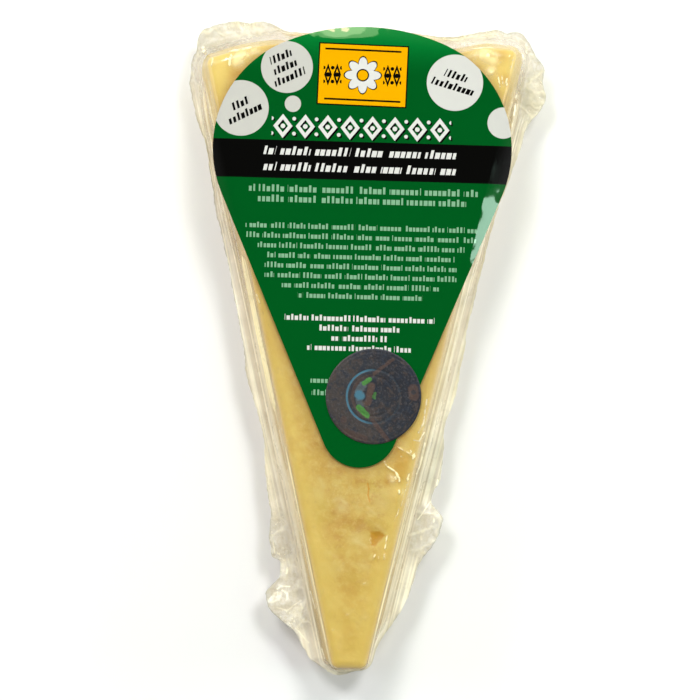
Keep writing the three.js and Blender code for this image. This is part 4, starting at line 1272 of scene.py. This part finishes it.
def pouch_film(material):
    """The clear pouch: the skin on the face, the slanting side film, the crumpled seam and the back."""
    s = stations
    root, reach = s.root, s.reach
    bare = [
        (0, THICKNESS), (1.3, 24.65), (2.1, 23.9), (2.35, 22.4), (EDGE + 0.25 * root, 18.6),
        (EDGE + 0.54 * root, 17.3), (EDGE + 0.66 * root, 14.2),
    ]
    tented = [(d, THICKNESS - bend(d)) for d in (0, 1.3, 2.4, 3.4, 4.3)]
    tented.append((EDGE + 0.8 * root, THICKNESS - bend(EDGE + 0.8 * root) - 0.6))
    tented.append((EDGE + 0.94 * root, 17.5))
    upper = [
        tuple(a + (b - a) * s.tent for a, b in zip(plain, held)) for plain, held in zip(bare, tented)
    ]
    upper += [(EDGE + root, s.seam + 2.2 * SEAM_HALF), (EDGE + reach, s.seam + SEAM_HALF)]
    lower = [
        (EDGE + reach, s.seam - SEAM_HALF), (EDGE + root, s.seam - 2.2 * SEAM_HALF),
        (EDGE + 0.55 * root, 5.2), (EDGE + 0.2 * root, 1.3), (0.9, FILM_BACK), (0, FILM_BACK),
    ]
    upper_counts, lower_counts = (3, 3, 3, 6, 4, 5, 6, 14), (14, 5, 4, 3, 2)
    upper_rings, upper_distance = section_rows(upper, upper_counts)
    lower_rings, lower_distance = section_rows(lower, lower_counts)
    rings = np.concatenate([upper_rings, lower_rings])
    distance = np.concatenate([upper_distance, lower_distance])
    rows, count = len(rings), len(s.point)
    upper_rows = len(upper_rings)

    def row_values(above, below):
        return np.concatenate([even_rows(above, upper_counts), even_rows(below, lower_counts)])

    lobed, corner = np.maximum(s.lobed, 0.06), s.corner
    plain = 1 - corner
    left, right = s.edge == 3, s.edge == 1
    fading = np.where(left, smoothstep(s.place, 52, 72), smoothstep(s.place, 44, 54))
    at_edge = plain * (1 - 0.6 * fading)
    beside = np.where(left, plateau(SIDE_LINE_LEFT, s.place), right * plateau(SIDE_LINE_RIGHT, s.place))
    # painted highlights along the face's edge and on folds of the side film
    edge_line = row_values((0, 0.15, 0.9, 1, 0.1, 0, 0, 0, 0), (0, 0, 0, 0, 0, 0))[:, None]
    side_line = row_values((0, 0, 0, 0.4, 1.2, 0.4, 0, 0, 0), (0, 0, 0, 0, 0, 0))[:, None]
    glint = edge_line * at_edge + side_line * beside * np.where(left, 1, 0.68)
    loose = row_values((0, 0, 0, 0.02, 0.15, 0.35, 0.6, 0.9, 1), (1, 0.9, 0.35, 0.15, 0.02, 0))
    loose = loose[:, None] * lobed
    drawn = row_values((0, 0.1, 0.3, 0.8, 1, 1, 1, 1, 1), (1, 1, 1, 0.6, 0.1, 0))[:, None]
    swallowed = row_values((0, 0, 0, 0, 0, 0.1, 0.3, 0.8, 1), (1, 0.8, 0.2, 0, 0, 0))[:, None] * s.lobed
    web = drawn * (1 - swallowed) * (1 - 0.85 * corner)
    warm = row_values((1, 1, 1, 1, 0.9, 0.7, 0.5, 0.15, 0), (0, 0.15, 0.8, 1, 1, 1))[:, None]
    milk = row_values(
        (0.03, 0.05, 0.08, 0.14, 0.27, 0.42, 0.58, 0.85, 0.95), (0.95, 0.85, 0.45, 0.35, 0.15, 0.1)
    )
    through = row_values((0, 0, 0, 1, 1, 0.8, 0.5, 0.1, 0), (0, 0, 0, 0, 0, 0))[:, None]
    cream = row_values((0.1, 0.5, 1, 1, 0.9, 0.6, 0.2, 0, 0), (0, 0, 0, 0, 0, 0))[:, None]
    cream = cream * (right * plateau(CREAM_RIGHT, s.place))
    milk = milk[:, None] * (1 - 0.4 * through * corner) + 0.28 * cream
    hem = np.clip(1 - (EDGE + reach - distance) / HEM, 0, 1)
    rim = row_values((0, 0, 0, 0, 0, 0, 0, 0, 1), (1, 0, 0, 0, 0, 0))
    aside = row_values((0, 0.1, 0.6, 0.9, 0.7, 0.4, 0.8, 0, 0), (0, 0, 0.9, 0.4, 0, 0))
    up = row_values((1, 1, 0.8, 0.4, 0.7, 0.9, 0.5, 1, 1), (1, 1, 0.2, 0, 0, 0))
    on_face = np.flatnonzero(distance[:upper_rows].max(1) < 2.1)
    flatness = 1 - distance[on_face] / 2.1
    relief = film_relief(rings[on_face, :, 0].ravel(), rings[on_face, :, 1].ravel())
    rings[on_face, :, 2] += flatness * relief.reshape(flatness.shape)
    blown = bumps(LOBE_BUBBLES, rings[:upper_rows, :, 0], rings[:upper_rows, :, 1])
    rings[:upper_rows, :, 2] += blown * loose[:upper_rows]
    spots = face_spots(0.6, 2.5, CREASE_SPACING)
    vertices, faces = closed_skin(rings, spots, THICKNESS + film_relief(*spots.T), FILM_BACK)
    ring_total, back_total = rows * count, len(vertices) - rows * count - len(spots)

    def over_all(values, on_face=0.0, on_back=0.0):
        values = np.broadcast_to(values if values.ndim > 1 else values[:, None], (rows, count))
        return np.concatenate([values.ravel(), np.full(len(spots), on_face), np.full(back_total, on_back)])

    plan, high = vertices[:, :2].T, vertices[:, 2] > FACE_LEVEL
    values = {
        "loose": over_all(loose),
        "web": over_all(web),
        "warm": over_all(warm * (1 - 0.8 * corner), 1, 1),
        "rim": over_all(rim),
        "hem": over_all(hem),
        "cream": over_all(cream),
        "milk": over_all(milk, 0.03, 0.1),
        "glint": over_all(glint),
        # painted highlights of the film's folds on the face
        "painted_fold_gleam": np.clip(1.4 * ridges(CREASES, *plan) + ridges(GLEAMS, *plan), 0, 1) * high,
        # painted highlights at the rind end's corners
        "painted_glow": np.clip(bumps(PAINTED_GLOWS, *plan), 0, 1) * high,
        "dull": np.clip(bumps(DULL_PLACES, *plan), 0, 1) * ~high,
    }
    push = np.zeros((len(vertices), 3))
    push[:ring_total, :2] = (aside[:, None, None] * s.out).reshape(-1, 2)
    push[:, 2] = over_all(up, 1.0, 0.0)
    drape = np.zeros((len(vertices), 3))
    below_seam = np.repeat(np.arange(rows) >= upper_rows, count)
    drape[:ring_total] = np.column_stack([distance.ravel(), np.tile(s.way, rows), 9.0 * below_seam])
    drape[ring_total:, :2] = vertices[ring_total:, :2]
    return placed("pouch_film", vertices, faces, material, values, {"push": push, "drape": drape})


def sharp_rim(piece):
    piece.data.set_sharp_from_angle(angle=math.radians(35))
    return piece


def drop_label(material):
    """The label: stiff glossy paper, flat on the face and bending down past its edges."""
    outline = LABEL_OUTLINE
    spots = spots_inside(outline, 1.3, 0.6)
    plan = np.vstack([outline, spots])
    past = np.maximum(0, -depth_inside(border_keys, plan))
    sag = bend(past)
    swell = 0.04 * rough_field(np.column_stack([plan, 0 * sag]), 18, 2, 8) + bumps(LABEL_SWELLS, *plan.T)
    over = np.column_stack([plan, LABEL_TOP - sag + swell])
    under = np.column_stack([plan, LABEL_UNDERSIDE - sag + swell])
    total, rim = len(plan), len(outline)
    i = np.arange(rim)
    after = (i + 1) % rim
    top = filled(outline, spots)
    side = np.column_stack([i, total + i, total + after, after])
    faces = [*top, *(top[:, ::-1] + total), *side]
    paper = np.concatenate([np.zeros(total), np.ones(total)])
    return sharp_rim(placed("drop_label", np.vstack([over, under]), faces, material, {"paper": paper}))


def foil_seal(material):
    """The round seal, a thin foil disc with two engraved rings and softly rounded rim."""
    count = 144
    profile = [(0.01, SEAL_TOP)]
    for radius in np.arange(0.6, SEAL_RADIUS - 0.3, 0.3):
        engraved = sum(math.exp(-(((radius - ring) / 0.25) ** 2)) for ring in (7.2, 5.4, 12.1))
        profile.append((radius, SEAL_TOP - 0.05 * engraved))
    profile += [
        (SEAL_RADIUS - 0.12, SEAL_TOP - 0.01), (SEAL_RADIUS, SEAL_TOP - 0.08), (SEAL_RADIUS, SEAL_UNDERSIDE),
        (0.01, SEAL_UNDERSIDE),
    ]
    angles = np.linspace(0, 2 * math.pi, count, endpoint=False)
    circle = np.column_stack([np.cos(angles), np.sin(angles)])
    rings = [np.column_stack([SEAL_MIDDLE + r * circle, np.full(count, z)]) for r, z in profile]
    last = (len(profile) - 1) * count
    faces = [*bands(len(profile), count), list(range(count)), list(range(last + count - 1, last - 1, -1))]
    return placed("foil_seal", np.vstack(rings), faces, material)


# ---- Staging

def backdrop_material():
    f = Finish("pale backdrop", Roughness=0.6)
    tone = f.noise(f.point, 120.0, 3.0, 0.5, 20.0)
    f.shows("Base Color", f.mix(tone, grey(0.82), grey(0.85)))
    return f.material


def backdrop():
    side = 3000
    corners = [(-side, -side, -0.05), (side, -side, -0.05), (side, side, -0.05), (-side, side, -0.05)]
    return placed("backdrop", corners, [(0, 1, 2, 3)], backdrop_material())


VIEW_MIDDLE = (-1.5, 85.0)
VIEW_WIDTH = 189  # millimetres across the picture, at the height of the face
VIEW_TURN = math.radians(1.2)
LENS, SENSOR = 180, 36


def camera():
    data = bpy.data.cameras.new("camera")
    data.lens, data.sensor_width = LENS, SENSOR
    data.clip_start, data.clip_end = 0.01, 20
    eye = bpy.data.objects.new("camera", data)
    away = VIEW_WIDTH * LENS / SENSOR + THICKNESS
    eye.location = (np.array([*VIEW_MIDDLE, away]) + ORIGIN) * MM
    eye.rotation_euler = (0, 0, VIEW_TURN)
    bpy.context.scene.collection.objects.link(eye)
    bpy.context.scene.camera = eye


def soft_light(name, azimuth, elevation, distance, size, power, roll=0, shape="RECTANGLE", tint=(1, 1, 1)):
    """A soft box, aimed at the pack from a direction given in degrees."""
    a, e = math.radians(azimuth), math.radians(elevation)
    data = bpy.data.lights.new(name, "AREA")
    data.shape, data.color = shape, tint
    data.size, data.size_y = size
    data.energy = power
    box = bpy.data.objects.new(name, data)
    box.location = distance * Vector((math.cos(e) * math.cos(a), math.cos(e) * math.sin(a), math.sin(e)))
    rolled = Quaternion((0, 0, 1), math.radians(roll))
    box.rotation_euler = (box.location.to_track_quat("Z", "Y") @ rolled).to_euler()
    bpy.context.scene.collection.objects.link(box)


def studio():
    """A pale studio, dark straight overhead so that the flat label shows no glare."""
    world = bpy.data.worlds.new("studio")
    bpy.context.scene.world = world
    world.use_nodes = True
    w = Wiring(world.node_tree)
    direction = w.put("ShaderNodeTexCoord").outputs["Generated"]
    _, _, height = w.parts(direction)
    tones = ((0.0, 1.0), (0.3, 0.9), (0.6, 0.35), (0.8, 0.12), (0.92, 0.02))  # from the horizon up
    sky = world.node_tree.nodes["Background"]
    w.feed(sky.inputs["Color"], w.ramp(height, [(place, grey(tone)) for place, tone in tones]))
    sky.inputs["Strength"].default_value = 0.95
    soft_light("rind side box, right", 56, 60, 1.2, (0.28, 0.28), 6.0)
    soft_light("rind side box, left", 124, 60, 1.2, (0.28, 0.28), 6.0)
    soft_light("rind end lamp, outer", 90.0, 31.8, 1.0, (0.086, 0.99), 1.2, -1.7, "ELLIPSE", (0.7, 1, 0.52))
    soft_light("rind end lamp, inner", 90.1, 30.5, 0.99, (0.058, 0.9), 0.75, -1.7, "ELLIPSE", (0.85, 1, 0.6))
    soft_light("rind end lamp, core", 90.3, 30, 0.98, (0.03, 0.5), 0.8, -1.7, "ELLIPSE", (1, 0.5, 0.45))
    soft_light("right strip", -5.5, 47.2, 1.0, (0.034, 0.6), 0.95, -6.4, tint=(0.67, 1, 0.82))
    soft_light("right box", 6, 19, 0.9, (0.4, 0.2), 2.3)
    soft_light("left box", 172, 28, 0.9, (0.4, 0.3), 2.0)


bpy.context.scene.view_settings.view_transform = "Standard"

studio()
camera()
floor = backdrop()

film_finish = film_material()
seal_finish = seal_material()
cheese = cheese_wedge(cheese_material())
film = shaped_by(
    crumpled_film, pouch_film(film_finish), film_finish,
    Crumple_Size=8 * MM, Crumple_Height=0.18 * MM, Crease_Size=3.6 * MM, Crease_Height=0.14 * MM,
    Streak_Width=1.6, Streak_Length=60.0, Streak_Height=0.16 * MM, Seed=3.0,
)
label = drop_label(label_material())
seal_middle = (np.array([*SEAL_MIDDLE, SEAL_TOP - 0.01]) + ORIGIN) * MM
seal = shaped_by(
    seal_ticks, foil_seal(seal_finish), seal_finish,
    Count=60, Ring_Radius=10.6 * MM, Tick_Size=(0.9 * MM, 0.22 * MM, 0.06 * MM), Middle=tuple(seal_middle),
)

for piece, node, slot in (
    (cheese, "vacuum_pack", "cheese_in_film"),
    (film, "vacuum_pack", "cheese_in_film"),
    (label, "front_label", "label_print"),
    (seal, "seal_sticker", "seal_foil"),
):
    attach(piece, "root")
    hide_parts(node)
